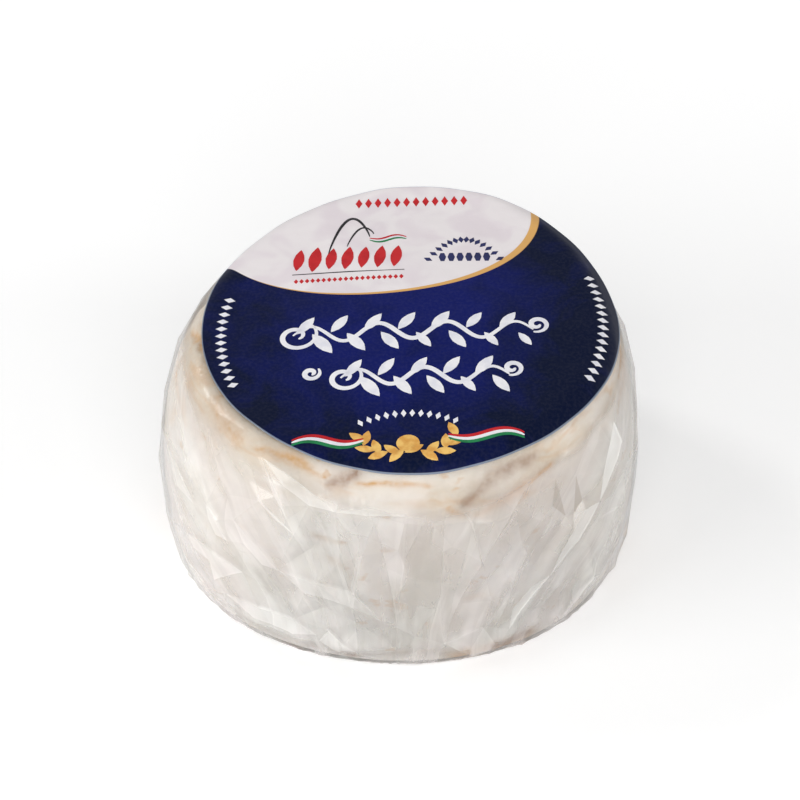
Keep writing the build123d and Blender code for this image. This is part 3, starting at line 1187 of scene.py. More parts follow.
@dataclass
class FilmWrap:
    """The film: one closed skin, pulled straight between its ridges and lying on the cheese elsewhere.

    The folds are lines of (angle in degrees, height and lift in millimetres). The rings are circles of
    (radius on the chart, points, turn in steps) on the underside and the top. The seeded lines and points
    take their heights, runs and lifts, in millimetres, from the ranges given.
    """

    form: WheelForm
    label_middle: Flat
    label_radius: float
    finish: FilmFinish = field(default_factory=FilmFinish)
    rest_gap: float = 0.5 * MM
    floor_gap: float = 0.03 * MM
    label_room: float = 0.74 * MM
    under_radius: float = 33.0 * MM
    cuts: int = 9
    seed: int = 11
    spacing: float = 6.2 * MM
    line_tries: int = 260
    line_heights: Flat = (3.0, 40.0)
    line_runs: Flat = (4.0, 9.0)
    line_lifts: Flat = (0.30, 0.75)
    line_lean: float = 2.2
    line_fall: float = 0.75
    lowest_end: float = 2.2
    point_tries: int = 2600
    point_heights: Flat = (0.6, 45.0)
    point_lifts: Flat = (0.0, 0.28)
    point_spacing: float = 0.72
    rings: tuple[tuple[float, int, float], ...] = (
        (1.0, 72, 0.0), (0.93, 72, 0.5), (0.2, 40, 0.0), (0.1, 20, 0.0), (0.04, 10, 0.0), (0.0, 1, 0.0))
    fold_pinch: float = 1.0
    facet_pinch: float = 0.8
    line_pinch: float = 0.12
    free_pinch: float = 0.3
    free_lift: float = 0.6 * MM
    sharp_crease: float = 0.6
    soft_crease: float = 0.05
    seeded_tone: float = 0.12
    softness: float = 0.12 * MM
    ripple_scale: float = 260.0
    ripple: float = 0.10 * MM
    ridge: float = 0.2 * MM
    flute_scale: Space = (230.0, 230.0, 60.0)
    flute_sharpness: float = 2.4
    gather_height: float = 13.0 * MM
    gather_depth: float = 0.55 * MM
    pleat_pull: float = 2.3
    sharp_angle: float = radians(15)
    clear_level: float = 39.0 * MM
    clear_rise: float = 12.5 * MM
    clear_most: float = 5.0 * MM
    clear_sway: float = 1.5 * MM
    clear_scale: float = 90.0
    clear_fade: float = 1.8 * MM
    folds: tuple[tuple[Space, ...], ...] = (
        ((-165, 32.0, 1.0), (-149, 33.0, 1.1)),
        ((-74, 36.0, 0.4), (-71, 24.8, 0.9)),
        ((-36, 18.6, 1.1), (-41, 11.9, 1.3), (-50, 5.7, 1.2)),
        ((-27, 30.5, 1.0), (-18, 28.1, 1.1)),
        ((-150, 12.0, 0.9), (-141, 8.0, 1.2), (-128, 4.5, 0.9)),
        ((-154, 17.0, 0.8), (-147, 11.5, 1.1), (-136, 5.5, 0.9)),
    )
    # Facets with a tone above 0 carry a painted highlight, those below 0 a painted shade.
    facets: tuple[Facet, ...] = (
        Facet(0.6, 1.0, 3, ((-127, 42.6), (-118.5, 41.7), (-111, 39.9), (-106, 37.8), (-112.5, 38.0),
                            (-119.5, 39.9))),
        Facet(0.5, 0.9, 3, ((-127, 42.6), (-123, 40.1), (-119, 36.6), (-117.5, 34.4), (-121.5, 37.7))),
        Facet(0.6, 1.1, 2, ((-139.5, 29.7), (-136, 27.8), (-132.5, 24.8), (-136, 24.5), (-138.5, 26.9))),
        Facet(0.6, 1.2, 3, ((-146, 19.4), (-139, 20.0), (-135.5, 20.1), (-128, 19.5), (-132, 16.8),
                            (-137, 13.0), (-138, 17.2), (-143.5, 17.2))),
        Facet(0.5, 1.3, 3, ((-133.5, 11.4), (-124.5, 12.3), (-115.5, 12.3), (-110, 9.7), (-116, 8.3),
                            (-126, 8.6))),
        Facet(0.7, 1.3, 3, ((-109.5, 8.3), (-107, 11.6), (-104, 8.6), (-101, 6.5), (-106, 6.0))),
        Facet(1.0, 1.2, 2, ((-29, 40.8), (-28, 36.4), (-31, 33.8), (-36, 31.3), (-39.5, 29.4), (-37, 34.4),
                            (-32.5, 38.5))),
        Facet(0.7, 1.4, 3, ((-39.5, 29.4), (-43, 27.7), (-47, 24.8), (-55, 20.1), (-52.5, 23.8),
                            (-48.5, 27.3), (-44.5, 30.2))),
        Facet(0.5, 1.4, 3, ((-55, 20.1), (-59, 17.6), (-62.5, 14.2), (-65, 9.9), (-64.5, 15.0), (-60, 19.0))),
        Facet(-0.8, 0.3, 0, ((-51, 38.8), (-49.5, 30.5), (-53, 34.0))),
        Facet(-0.8, 0.3, 0, ((-45, 37.2), (-44, 31.6), (-47, 29.9))),
        Facet(0.5, 0.8, 2, ((-106, 37.8), (-98, 39.3), (-89.5, 38.0), (-98, 37.8))),
        Facet(-0.4, 0.6, 1, ((-106, 37.8), (-102.5, 34.4), (-100.5, 29.5), (-102, 20.9), (-104.5, 27.9))),
        Facet(0.7, 1.1, 1, ((-125, 36.0), (-120.5, 34.6), (-115.5, 31.9), (-120.5, 33.8))),
        Facet(0.4, 1.0, 2, ((-158.5, 31.8), (-149.5, 30.4), (-143.5, 27.3), (-151.5, 27.0))),
        Facet(-0.5, 0.5, 0, ((-89.5, 36.6), (-82.5, 35.9), (-84, 29.0), (-88.5, 25.1), (-91, 31.3))),
        Facet(-0.15, 1.0, 1, ((-73.5, 36.2), (-68.5, 35.4), (-66, 23.1), (-69.5, 18.1), (-72, 27.8))),
        Facet(-0.5, 0.5, 0, ((-62.5, 35.7), (-56.5, 32.3), (-55.5, 25.7), (-59.5, 23.1), (-62, 29.9))),
        Facet(0.4, 1.1, 1, ((-80.5, 9.0), (-71.5, 12.1), (-67, 4.7), (-73.5, 3.6))),
        Facet(-0.3, 0.8, 1, ((-39.5, 25.1), (-27.5, 21.4), (-29, 12.5), (-37, 10.1), (-42.5, 20.4))),
        Facet(0.4, 1.2, 2, ((-131, 30.2), (-124.5, 27.2), (-119, 23.3), (-123, 23.3), (-128, 26.2))),
        Facet(0.4, 1.3, 3, ((-119, 23.3), (-109.5, 22.5), (-101, 21.6), (-95, 15.6), (-103.5, 18.8),
                            (-112.5, 19.8))),
    )

    def chart_tables(self) -> tuple[np.ndarray, np.ndarray, np.ndarray]:
        """Unrolls the profile onto a flat chart on which small shapes keep their form.

        Returns:
            The chart's radius, which is 1 at the underside's rim and 0 at the top's middle, and the profile's
            radii and heights.
        """
        radii, heights = self.form.profile(0.0, self.under_radius)
        lengths = np.hypot(np.diff(radii), np.diff(heights))
        middles = np.maximum((radii[1:] + radii[:-1]) / 2, 0.1 * MM)
        reach = np.exp(-np.concatenate([[0.0], np.cumsum(lengths / middles)]))
        reach[-1] = 0.0
        return reach, radii, heights

    def to_chart(self, angle: float, height: float) -> Vector:
        """Finds the chart's place for a place on the standing wheel's side.

        Args:
            angle: Its angle about the axis.
            height: Its height above the floor.

        Returns:
            The place on the chart.
        """
        reach, radii, heights = self.chart_tables()
        level = height - self.form.base_gap
        for _ in range(4):
            radius = float(np.interp(level, heights, radii))
            place = self.form.place(np.array([angle]), np.array([radius]), np.array([level]))[0]
            level += height - place[2]
        span = float(np.interp(level, heights, reach))
        return Vector((span * cos(angle), span * sin(angle)))

    def from_chart(self, chart: np.ndarray) -> tuple[np.ndarray, np.ndarray]:
        """Finds the places on the cheese, and the ways out from it, for places on the chart.

        Args:
            chart: Places on the chart.

        Returns:
            The places and the outward directions.
        """
        reach, radii, heights = self.chart_tables()
        order = slice(None, None, -1)
        span = np.clip(np.hypot(chart[:, 0], chart[:, 1]), 1e-5, 1.0)
        angle = np.arctan2(chart[:, 1], chart[:, 0])

        def at(turn: np.ndarray, level: np.ndarray) -> np.ndarray:
            """Places one set of angles and chart radii in space."""
            level = np.clip(level, 0.0, 1.0)
            return self.form.place(turn, np.interp(level, reach[order], radii[order]),
                                   np.interp(level, reach[order], heights[order]))

        sideways = at(angle + 0.004, span) - at(angle - 0.004, span)
        upward = at(angle, span * 0.996) - at(angle, span * 1.004)
        outward = np.cross(sideways, upward)
        outward /= np.maximum(np.linalg.norm(outward, axis=1, keepdims=True), 1e-12)
        outward[span < 0.002] = (0.0, 0.0, 1.0)
        return at(angle, span), outward

    def lay_out(self) -> FilmLayout:
        """Lays out the folds and the facets, and seeded lines and points between them, on the chart.

        Returns:
            The layout, with the sharp lines first among its edges.
        """
        layout = FilmLayout(self.to_chart, self.form.radius)
        for line in self.folds:
            layout.crease([layout.put(*corner) for corner in line], self.fold_pinch)
        outlines = []
        for facet in self.facets:
            outlines.append([layout.put(angle, height, facet.lift) for angle, height in facet.corners])
            layout.crease(outlines[-1][:facet.sharp_sides + 1], self.facet_pinch)
        layout.sharp = len(layout.edges)
        for facet, ends in zip(self.facets, outlines):
            rest = ends[facet.sharp_sides:] + ends[:1]
            layout.edges += zip(rest, rest[1:])
        source = Random(self.seed)
        for _ in range(self.line_tries):
            self.try_line(layout, source)
        for _ in range(self.point_tries):
            angle, height = source.uniform(-180, 180), source.uniform(*self.point_heights)
            if layout.clear(angle, height, self.spacing * self.point_spacing):
                layout.put(angle, height, source.uniform(*self.point_lifts))
        for ring, count, shift in self.rings:
            for step in range(count):
                turn = tau * (step + shift) / count
                layout.spots.append(Vector((ring * cos(turn), ring * sin(turn))))
                layout.lifts.append(0.0)
        return layout

    def try_line(self, layout: FilmLayout, source: Random) -> None:
        """Draws a falling line that leans away from the back, and lays it where it has room.

        Args:
            layout: The layout to lay it on.
            source: The seeded source of its place and size.
        """
        angle = source.uniform(-180, 180)
        height = source.uniform(*self.line_heights)
        run = source.uniform(*self.line_runs)
        lean = -self.line_lean * sin(radians(angle + 90)) + source.uniform(-0.5, 0.5)
        corners = []
        for step in range(source.choice((2, 3, 4))):
            corners.append((angle + lean * run * step, height - run * step * self.line_fall))
        if corners[-1][1] < self.lowest_end:
            return
        if all(layout.clear(turn, level, self.spacing) for turn, level in corners):
            ends = [layout.put(turn, level, source.uniform(*self.line_lifts)) for turn, level in corners]
            layout.crease(ends, self.line_pinch)

    def tones(self, chart: np.ndarray, triangles: list[tuple[int, int, int]]) -> np.ndarray:
        """Gives each coarse triangle its tone: its facet's painted highlight and shade, else a seeded random
        one.

        Args:
            chart: The coarse points on the chart.
            triangles: The coarse triangles.

        Returns:
            The tones.
        """
        source = Random(self.seed)
        outlines = [[self.to_chart(radians(angle), height * MM) for angle, height in facet.corners]
                    for facet in self.facets]
        made = []
        for corners in triangles:
            middle = Vector(chart[list(corners)].mean(0))
            tone = source.uniform(-self.seeded_tone, self.seeded_tone)
            for facet, outline in zip(self.facets, outlines):
                if self.inside(middle, outline):
                    tone = facet.tone
            made.append(tone)
        return np.array(made)

    @staticmethod
    def inside(spot: Vector, outline: list[Vector]) -> bool:
        """Tells whether a place is inside an outline.

        Args:
            spot: The place.
            outline: The outline's corners.

        Returns:
            Whether it is.
        """
        within = False
        for one, two in zip(outline, outline[1:] + outline[:1]):
            if (one.y > spot.y) != (two.y > spot.y):
                crossing = one.x + (two.x - one.x) * (spot.y - one.y) / (two.y - one.y)
                within ^= crossing > spot.x
        return within

    def skin(self) -> bpy.types.Mesh:
        """Builds the film's skin.

        Returns:
            The mesh, with the attributes facet, flow, loose and fold.
        """
        layout = self.lay_out()
        made = geometry.delaunay_2d_cdt(layout.spots, layout.edges, [], 0, 1e-6, True)
        chart = np.array([tuple(spot) for spot in made[0]])
        triangles = [tuple(face) for face in made[2]]
        lift = np.array([layout.lifts[ids[0]] if ids else self.free_lift for ids in made[3]])
        pinch = np.array([max((layout.pinches.get(number, 0.0) for number in ids), default=self.free_pinch)
                          for ids in made[3]])
        creased = {tuple(sorted(edge)): self.sharp_crease if min(ids) < layout.sharp else self.soft_crease
                   for edge, ids in zip(made[1], made[4]) if ids}
        resting, outward = self.from_chart(chart)
        corners = resting + outward * (self.rest_gap + lift)[:, None]
        weights, faces, folded = self.divide(triangles, creased, pinch)
        straight = self.weigh(weights, corners)
        resting, outward = self.from_chart(self.weigh(weights, chart))
        stand = np.einsum("ij,ij->i", straight - resting, outward)
        gap = self.rumpled(stand - self.rest_gap, resting, outward)
        stand = self.tucked(self.rest_gap + gap + folded * self.ridge, resting, outward)
        places = resting + outward * stand[:, None]
        places[:, 2] = np.maximum(places[:, 2], self.floor_gap)
        rim = self.outer_loop(faces)
        count = len(places)
        places = np.concatenate([places, [[places[rim, 0].mean(), places[rim, 1].mean(), self.floor_gap]]])
        faces += [(two, one, count) for one, two in zip(rim, rim[1:] + rim[:1])]
        mesh = bpy.data.meshes.new("film_skin")
        mesh.from_pydata(places.tolist(), [], faces)
        mesh.validate()
        mesh.polygons.foreach_set("use_smooth", [True] * len(mesh.polygons))
        mesh.set_sharp_from_angle(angle=self.sharp_angle)
        # The facet attribute holds the facets' painted highlight and shade, and small random tones elsewhere.
        tones = np.repeat(self.tones(chart, triangles), self.cuts ** 2)
        store(mesh, "facet", np.append(tones, np.zeros(len(rim))), "FACE")
        store(mesh, "flow", self.flow(places))
        store(mesh, "loose", self.looseness(places, np.append(gap / MM, 0.0)))
        store(mesh, "fold", np.append(folded, 0.0))
        mesh.update()
        return mesh

    def rumpled(self, gap: np.ndarray, resting: np.ndarray, outward: np.ndarray) -> np.ndarray:
        """Softens the film where it meets the cheese, ripples it where it hangs free, gathers it at the foot.

        Args:
            gap: How far the straight film stands off where it would rest.
            resting: The places on the cheese.
            outward: The ways out from them.

        Returns:
            How far the film stands off in the end.
        """
        gap = 0.5 * (gap + np.sqrt(gap * gap + self.softness * self.softness))
        ripple = np.array([noise.noise(Vector(point) * self.ripple_scale) for point in resting])
        gap += np.clip(gap / MM, 0.0, 1.0) * ripple * self.ripple
        across, along, up = self.flute_scale
        pleats = np.array([noise.noise(Vector((spot[0] * across, spot[1] * along, spot[2] * up)))
                           for spot in self.flow(resting)])
        flute = 1 - np.abs(pleats) * self.flute_sharpness
        low = np.clip((self.gather_height - resting[:, 2]) / self.gather_height, 0, 1)
        gap += np.clip(flute, 0, 1) ** 2 * low * (1 - np.clip(-outward[:, 2], 0, 1)) * self.gather_depth
        return gap

    def tucked(self, stand: np.ndarray, resting: np.ndarray, outward: np.ndarray) -> np.ndarray:
        """Holds the film down where the label lies on it.

        Args:
            stand: How far the film stands off the cheese.
            resting: The places on the cheese.
            outward: The ways out from them.

        Returns:
            How far it stands off with the label on.
        """
        plan = resting[:, :2] - np.array(self.label_middle)
        hidden = np.clip((self.label_radius + 0.6 * MM - np.hypot(plan[:, 0], plan[:, 1])) / MM, 0, 1)
        hidden *= (outward[:, 2] > 0.1)
        return stand * (1 - hidden) + np.minimum(stand, self.label_room) * hidden

    def flow(self, places: np.ndarray) -> np.ndarray:
        """Unwinds places so that the pleats, which run down both sides to the front, stand upright.

        Args:
            places: Points on the wheel.

        Returns:
            The unwound points.
        """
        turn = np.arctan2(places[:, 1], places[:, 0]) + pi / 2
        turn = (turn + pi) % tau - pi
        fall = np.clip(1 - places[:, 2] / self.form.height, 0, 1)
        turn = turn + self.pleat_pull * np.minimum(fall, 0.75) * np.sin(turn) * (1 + np.cos(turn)) / 2
        reach = self.form.radius
        return np.stack([reach * np.cos(turn), reach * np.sin(turn), places[:, 2]], -1)

    def looseness(self, places: np.ndarray, gap: np.ndarray) -> np.ndarray:
        """Tells how loose the film is: loose on the sides, less on the shoulder, most where it stands off.

        Args:
            places: The film's points.
            gap: How far each stands off the cheese, in millimetres.

        Returns:
            How loose each is, 0 to 1.
        """
        edge = np.array([noise.noise(Vector(spot) * self.clear_scale) for spot in self.flow(places)])
        front = np.cos(np.arctan2(places[:, 1], places[:, 0]) + pi / 2)
        level = self.clear_level + np.minimum(self.clear_rise * (1 - front), self.clear_most)
        high = np.clip((level + self.clear_sway * edge - places[:, 2]) / self.clear_fade, 0, 1)
        return np.clip(high + 0.5 * np.clip(gap, 0, 1), 0, 1)

    def divide(self, triangles: list[tuple[int, int, int]],
               creased: dict[tuple[int, int], float],
               pinch: np.ndarray) -> tuple[list[dict[int, int]], list[tuple[int, ...]], np.ndarray]:
        """Divides each coarse triangle into small ones that share the points along its sides.

        Args:
            triangles: The coarse triangles.
            creased: For each coarse edge that is a fold line, how sharp it is half way along.
            pinch: How sharp a fold is at each coarse point.

        Returns:
            For each fine point, the whole-number weights of its coarse corners; the fine faces; and how sharp
            a fold is at each fine point.
        """
        cuts = self.cuts
        weights: list[dict[int, int]] = []
        folded: list[float] = []
        numbers: dict[tuple, int] = {}
        faces: list[tuple[int, ...]] = []
        for one, two, three in triangles:
            grid = {}
            for i in range(cuts + 1):
                for j in range(cuts + 1 - i):
                    share = {one: cuts - i - j, two: i, three: j}
                    share = {corner: weight for corner, weight in share.items() if weight}
                    key = tuple(sorted(share.items()))
                    if key not in numbers:
                        numbers[key] = len(weights)
                        weights.append(share)
                        sharp = 0.0
                        if len(share) == 1:
                            sharp = pinch[next(iter(share))]
                        elif len(share) == 2 and tuple(sorted(share)) in creased:
                            between = sum(pinch[corner] * weight / cuts for corner, weight in share.items())
                            way = next(iter(share.values())) / cuts
                            swell = creased[tuple(sorted(share))] * 4 * way * (1 - way)
                            sharp = max(between, swell)
                        folded.append(float(sharp))
                    grid[(i, j)] = numbers[key]
            for i in range(cuts):
                for j in range(cuts - i):
                    faces.append((grid[(i, j)], grid[(i + 1, j)], grid[(i, j + 1)]))
                    if i + j < cuts - 1:
                        faces.append((grid[(i + 1, j)], grid[(i + 1, j + 1)], grid[(i, j + 1)]))
        return weights, faces, np.array(folded)

    def weigh(self, weights: list[dict[int, int]], values: np.ndarray) -> np.ndarray:
        """Averages the coarse points' values at each fine point.

        Args:
            weights: The weights of each fine point's corners.
            values: The coarse points' values.

        Returns:
            The fine points' values.
        """
        corners = np.zeros((len(weights), 3), int)
        shares = np.zeros((len(weights), 3))
        for row, share in enumerate(weights):
            for column, (corner, weight) in enumerate(share.items()):
                corners[row, column] = corner
                shares[row, column] = weight / self.cuts
        return np.einsum("ij,ijk->ik", shares, values[corners])

    @staticmethod
    def outer_loop(faces: list[tuple[int, ...]]) -> list[int]:
        """Follows the open edge on the underside.

        Args:
            faces: The faces.

        Returns:
            The points along the edge, in the faces' own direction.
        """
        follow: dict[int, int] = {}
        used = set()
        for face in faces:
            for one, two in zip(face, face[1:] + face[:1]):
                used.add((one, two))
        for one, two in used:
            if (two, one) not in used:
                follow[one] = two
        first = next(iter(follow))
        loop = [first]
        while follow[loop[-1]] != first:
            loop.append(follow[loop[-1]])
        return loop

    def build(self) -> bpy.types.Object:
        """Builds the film.

        Returns:
            The film's object.
        """
        piece = plain_object("clear_wrap", self.skin())
        piece.data.materials.append(self.finish.build())
        return piece


@dataclass
class RoundLabel:
    """The round paper label, bent down over the shoulder."""

    form: WheelForm
    middle: Flat = (2.2 * MM, -1.5 * MM)
    radius: float = 37.8 * MM
    growth: float = 0.98 * MM
    thickness: float = 0.15 * MM
    spokes: int = 180
    rings: int = 44
    ring_power: float = 0.8
    sharp_angle: float = radians(40)
    flat_part: float = 0.82
    edge_lift: float = 0.12
    ruffles: tuple[Space, ...] = ((0.10, 5, 0.7), (0.08, 11, 2.0), (0.05, 23, 0.0))
    finish: LabelFinish = field(default_factory=LabelFinish)
    uv_name: str = "flat"
    uv_units: float = 2.2

    def face(self, flat: np.ndarray, above: float = 0.0) -> np.ndarray:
        """Lays places in label radii on the label's face.

        Args:
            flat: Places on the flat label, in label radii.
            above: How far above the face they lie.

        Returns:
            The places in space.
        """
        across = self.middle[0] + flat[:, 0] * self.radius
        along = self.middle[1] + flat[:, 1] * self.radius
        height = self.form.top_height(across, along, self.growth)
        reach = np.hypot(flat[:, 0], flat[:, 1])
        turn = np.arctan2(flat[:, 1], flat[:, 0])
        edge = np.clip((reach - self.flat_part) / (1 - self.flat_part), 0, 1) ** 2
        ruffle = sum(size * np.sin(count * turn + start) for size, count, start in self.ruffles)
        height = height + edge * (self.edge_lift + ruffle) * MM
        return np.stack([across, along, height + above], -1)

    def build(self) -> bpy.types.Object:
        """Builds the label.

        Returns:
            The label's object.
        """
        flat = [(0.0, 0.0)]
        for ring in range(1, self.rings + 1):
            reach = (ring / self.rings) ** self.ring_power
            for spoke in range(self.spokes):
                turn = tau * spoke / self.spokes
                flat.append((reach * cos(turn), reach * sin(turn)))
        faces: list[tuple[int, ...]] = []
        for spoke in range(self.spokes):
            after = (spoke + 1) % self.spokes
            faces.append((0, 1 + spoke, 1 + after))
            for ring in range(self.rings - 1):
                low, high = 1 + ring * self.spokes, 1 + (ring + 1) * self.spokes
                faces.append((low + spoke, high + spoke, high + after, low + after))
        places = np.array(flat)
        mesh = closed_sheet("round_label", self.face(places), self.face(places, -self.thickness), faces)
        mesh.polygons.foreach_set("use_smooth", [True] * len(mesh.polygons))
        mesh.set_sharp_from_angle(angle=self.sharp_angle)
        layer = mesh.uv_layers.new(name=self.uv_name)
        for loop in mesh.loops:
            spot = places[loop.vertex_index % len(places)]
            layer.data[loop.index].uv = (0.5 + spot[0] / self.uv_units, 0.5 + spot[1] / self.uv_units)
        piece = plain_object("round_label", mesh)
        piece.data.materials.append(self.finish.build(self.uv_name, self.uv_units))
        return piece


@dataclass(frozen=True)
class MarkRow:
    """A row of small printed marks along a bowed line, in label radii."""

    ink: Ink
    start: Flat
    end: Flat
    count: int
    length: float
    width: float
    bow: float = 0.0
    pinch: float = 0.0
    lean: float = 0.0
    stagger: float = 0.0
    corners: int = 12
    uneven: float = 0.0


@dataclass(frozen=True)
class Stroke:
    """A printed line with a swelling width, in label radii."""

    ink: Ink
    points: tuple[Flat, ...]
    width: float
    thin: float = 0.25
    above: float = 0.04 * MM


@dataclass
class LabelPrint:
    """The print on the label: rows of plain marks, sprays of leaves, waved ribbons and flourishes.

    All of it is laid out in label radii from the label's middle.
    """

    label: RoundLabel
    rows: tuple[MarkRow, ...] = (
        MarkRow(Ink.RED, (-0.255, 0.88), (0.265, 0.88), 12, 0.036, 0.017, lean=90, corners=4),
        MarkRow(Ink.RED, (-0.545, 0.46), (-0.07, 0.46), 7, 0.080, 0.027, pinch=1, lean=82, uneven=0.2),
        MarkRow(Ink.RED, (-0.555, 0.30), (-0.045, 0.30), 20, 0.011, 0.017, corners=4),
        MarkRow(Ink.NAVY, (0.085, 0.425), (0.435, 0.425), 14, 0.014, 0.024, bow=0.15, corners=4),
        MarkRow(Ink.NAVY, (0.155, 0.44), (0.37, 0.44), 6, 0.018, 0.036, corners=6),
        MarkRow(Ink.WHITE, (-0.872, 0.185), (-0.835, -0.415), 13, 0.017, 0.028, bow=-0.050, corners=4),
        MarkRow(Ink.WHITE, (0.835, -0.43), (0.862, 0.27), 15, 0.017, 0.028, bow=-0.065, corners=4),
        MarkRow(Ink.WHITE, (-0.235, -0.70), (0.205, -0.70), 12, 0.013, 0.024, bow=0.055, corners=4),
        MarkRow(Ink.WHITE, (-0.50, -0.095), (0.54, -0.095), 14, 0.068, 0.026, pinch=1, lean=55, stagger=0.066,
                uneven=0.25),
        MarkRow(Ink.WHITE, (-0.27, -0.40), (0.42, -0.40), 10, 0.066, 0.025, pinch=1, lean=55, stagger=0.062,
                uneven=0.25),
        MarkRow(Ink.GOLD, (-0.055, -0.895), (-0.235, -0.775), 7, 0.050, 0.022, bow=0.05, pinch=1, lean=38,
                stagger=0.022),
        MarkRow(Ink.GOLD, (0.025, -0.895), (0.205, -0.775), 7, 0.050, 0.022, bow=-0.05, pinch=1, lean=38,
                stagger=0.022),
        MarkRow(Ink.GOLD, (-0.015, -0.840), (-0.014, -0.840), 1, 0.054, 0.054, corners=28),
    )
    stems: tuple[tuple[float, ...], ...] = (
        (-0.56, 0.58, -0.095, 0.056, 3.5),
        (-0.33, 0.46, -0.40, 0.052, 2.5),
    )
    curls: tuple[tuple[Flat, float, float, int], ...] = (
        ((-0.545, -0.10), 0.105, 50, -1),
        ((0.60, -0.06), 0.055, 250, 1),
        ((-0.315, -0.40), 0.090, 50, -1),
        ((0.475, -0.36), 0.050, 250, 1),
        ((-0.47, -0.36), 0.045, 40, -1),
    )
    arches: tuple[tuple[Flat, Flat, float, float], ...] = (
        ((-0.40, 0.50), (-0.20, 0.62), 0.20, 0.016),
        ((-0.31, 0.55), (-0.18, 0.64), 0.09, 0.011),
    )
    underline: Stroke = Stroke(Ink.BLACK, ((-0.575, 0.352), (-0.30, 0.354), (-0.03, 0.352)), 0.007, 0.6)
    ribbons: tuple[tuple[float, float, float, int, float], ...] = (
        (-0.55, -0.22, -0.815, 1, 1.0),
        (0.17, 0.52, -0.80, -1, 1.0),
        (-0.20, -0.02, 0.60, -1, 0.6),
    )
    bands: tuple[tuple[Ink, float], ...] = ((Ink.RED, 0.021), (Ink.WHITE, 0.0), (Ink.GREEN, -0.021))
    face_gap: float = 0.03 * MM
    sink: float = 0.05 * MM
    size_seed: int = 5

    def row_tree(self) -> bpy.types.NodeTree:
        """Builds the tree that sets one mark after another along a bowed line.

        Returns:
            The tree.
        """
        shape = ShapeTree("marks_in_a_row")
        graph = shape.graph
        start_x, start_y = shape.size("Start right"), shape.size("Start back")
        end_x, end_y = shape.size("End right"), shape.size("End back")
        bow, pinch = shape.size("Bow"), shape.size("Pinch")
        length, width = shape.size("Half length"), shape.size("Half width")
        lean, stagger, uneven = shape.size("Lean"), shape.size("Stagger"), shape.size("Unevenness")
        count, corners = shape.size("Count", "Int"), shape.size("Corners", "Int")
        ink = shape.size("Ink", "Material")
        line = graph.add("GeometryNodeMeshLine", {"Count": count, "Offset": (0.0, 0.0, 0.0)}).outputs[0]
        number = graph.add("GeometryNodeInputIndex").outputs[0]
        last = graph.math("MAXIMUM", graph.minus(count, 1.0), 1.0)
        share = graph.over(number, last)
        run_x, run_y = graph.minus(end_x, start_x), graph.minus(end_y, start_y)
        span = graph.length(run_x, run_y)
        rest = graph.minus(1.0, share)
        arch = graph.times(graph.times(share, rest), graph.times(bow, 4.0))
        odd = graph.math("MODULO", number, 2.0)
        side = graph.times_plus(odd, -2.0, 1.0)
        away = graph.over(graph.times_plus(side, stagger, arch), span)
        spot_x = graph.minus(graph.times_plus(run_x, share, start_x), graph.times(run_y, away))
        spot_y = graph.plus(graph.times_plus(run_y, share, start_y), graph.times(run_x, away))
        spot = graph.joined(spot_x, spot_y)
        laid = graph.add("GeometryNodeSetPosition", {"Geometry": line, "Position": spot}).outputs[0]
        slope = graph.over(graph.times(graph.minus(rest, share), graph.times(bow, 4.0)), span)
        heading = graph.plus(graph.math("ARCTAN2", run_y, run_x), graph.math("ARCTANGENT", slope))
        zigzag = graph.math("GREATER_THAN", stagger, 0.0)
        sway = graph.times(lean, graph.plus(graph.times(zigzag, graph.minus(side, 1.0)), 1.0))
        facing = graph.joined(0.0, 0.0, graph.plus(heading, sway))
        disc = graph.add("GeometryNodeMeshCircle", {"Vertices": corners, "Radius": 1.0},
                         fill_type="TRIANGLE_FAN").outputs[0]
        mark = graph.add("GeometryNodeSubdivideMesh", {"Mesh": disc, "Level": 1}).outputs[0]
        right, up, _ = graph.parts(graph.add("GeometryNodeInputPosition").outputs[0])
        inner = graph.minus(1.0, graph.times(right, right))
        taper = graph.math("POWER", graph.math("MAXIMUM", inner, 0.0001), graph.times(pinch, 0.5))
        outline = graph.joined(graph.times(right, length), graph.times(graph.times(up, taper), width))
        mark = graph.add("GeometryNodeSetPosition", {"Geometry": mark, "Position": outline}).outputs[0]
        spread = {2: graph.minus(1.0, uneven), 3: graph.plus(1.0, uneven), "Seed": self.size_seed}
        grown = graph.add("FunctionNodeRandomValue", spread, data_type="FLOAT").outputs[1]
        values = {"Points": laid, "Instance": mark, "Rotation": facing, "Scale": grown}
        marks = graph.add("GeometryNodeInstanceOnPoints", values).outputs[0]
        return shape.finish(marks, ink)

    def row_piece(self, tree: bpy.types.NodeTree, row: MarkRow, material: bpy.types.Material,
                  number: int) -> tuple[np.ndarray, list[list[int]]]:
        """Sets one row of marks out flat.

        Args:
            tree: The tree that does it.
            row: The row.
            material: The row's ink.
            number: The row's number.

        Returns:
            The flat places and the faces.
        """
        piece = plain_object(f"row_{number}", bpy.data.meshes.new("row"))
        sizes = {"Start right": row.start[0], "Start back": row.start[1], "End right": row.end[0],
                 "End back": row.end[1], "Bow": row.bow, "Pinch": row.pinch, "Half length": row.length,
                 "Half width": row.width, "Lean": radians(row.lean), "Stagger": row.stagger,
                 "Unevenness": row.uneven, "Count": row.count, "Corners": row.corners, "Ink": material}
        grow_plain(piece, tree, sizes)
        flat = np.array([tuple(corner.co)[:2] for corner in piece.data.vertices])
        faces = [list(face.vertices) for face in piece.data.polygons]
        bpy.data.objects.remove(piece)
        return flat, faces

    def strokes(self) -> list[Stroke]:
        """Lays out the printed lines.

        Returns:
            The strokes.
        """
        made = [self.stem(*stem) for stem in self.stems]
        made += [self.curl(*curl) for curl in self.curls]
        made += [self.arch(*arch) for arch in self.arches]
        made.append(self.underline)
        for ribbon in self.ribbons:
            made += [self.ribbon(ink, *ribbon, drop) for ink, drop in self.bands]
        return made

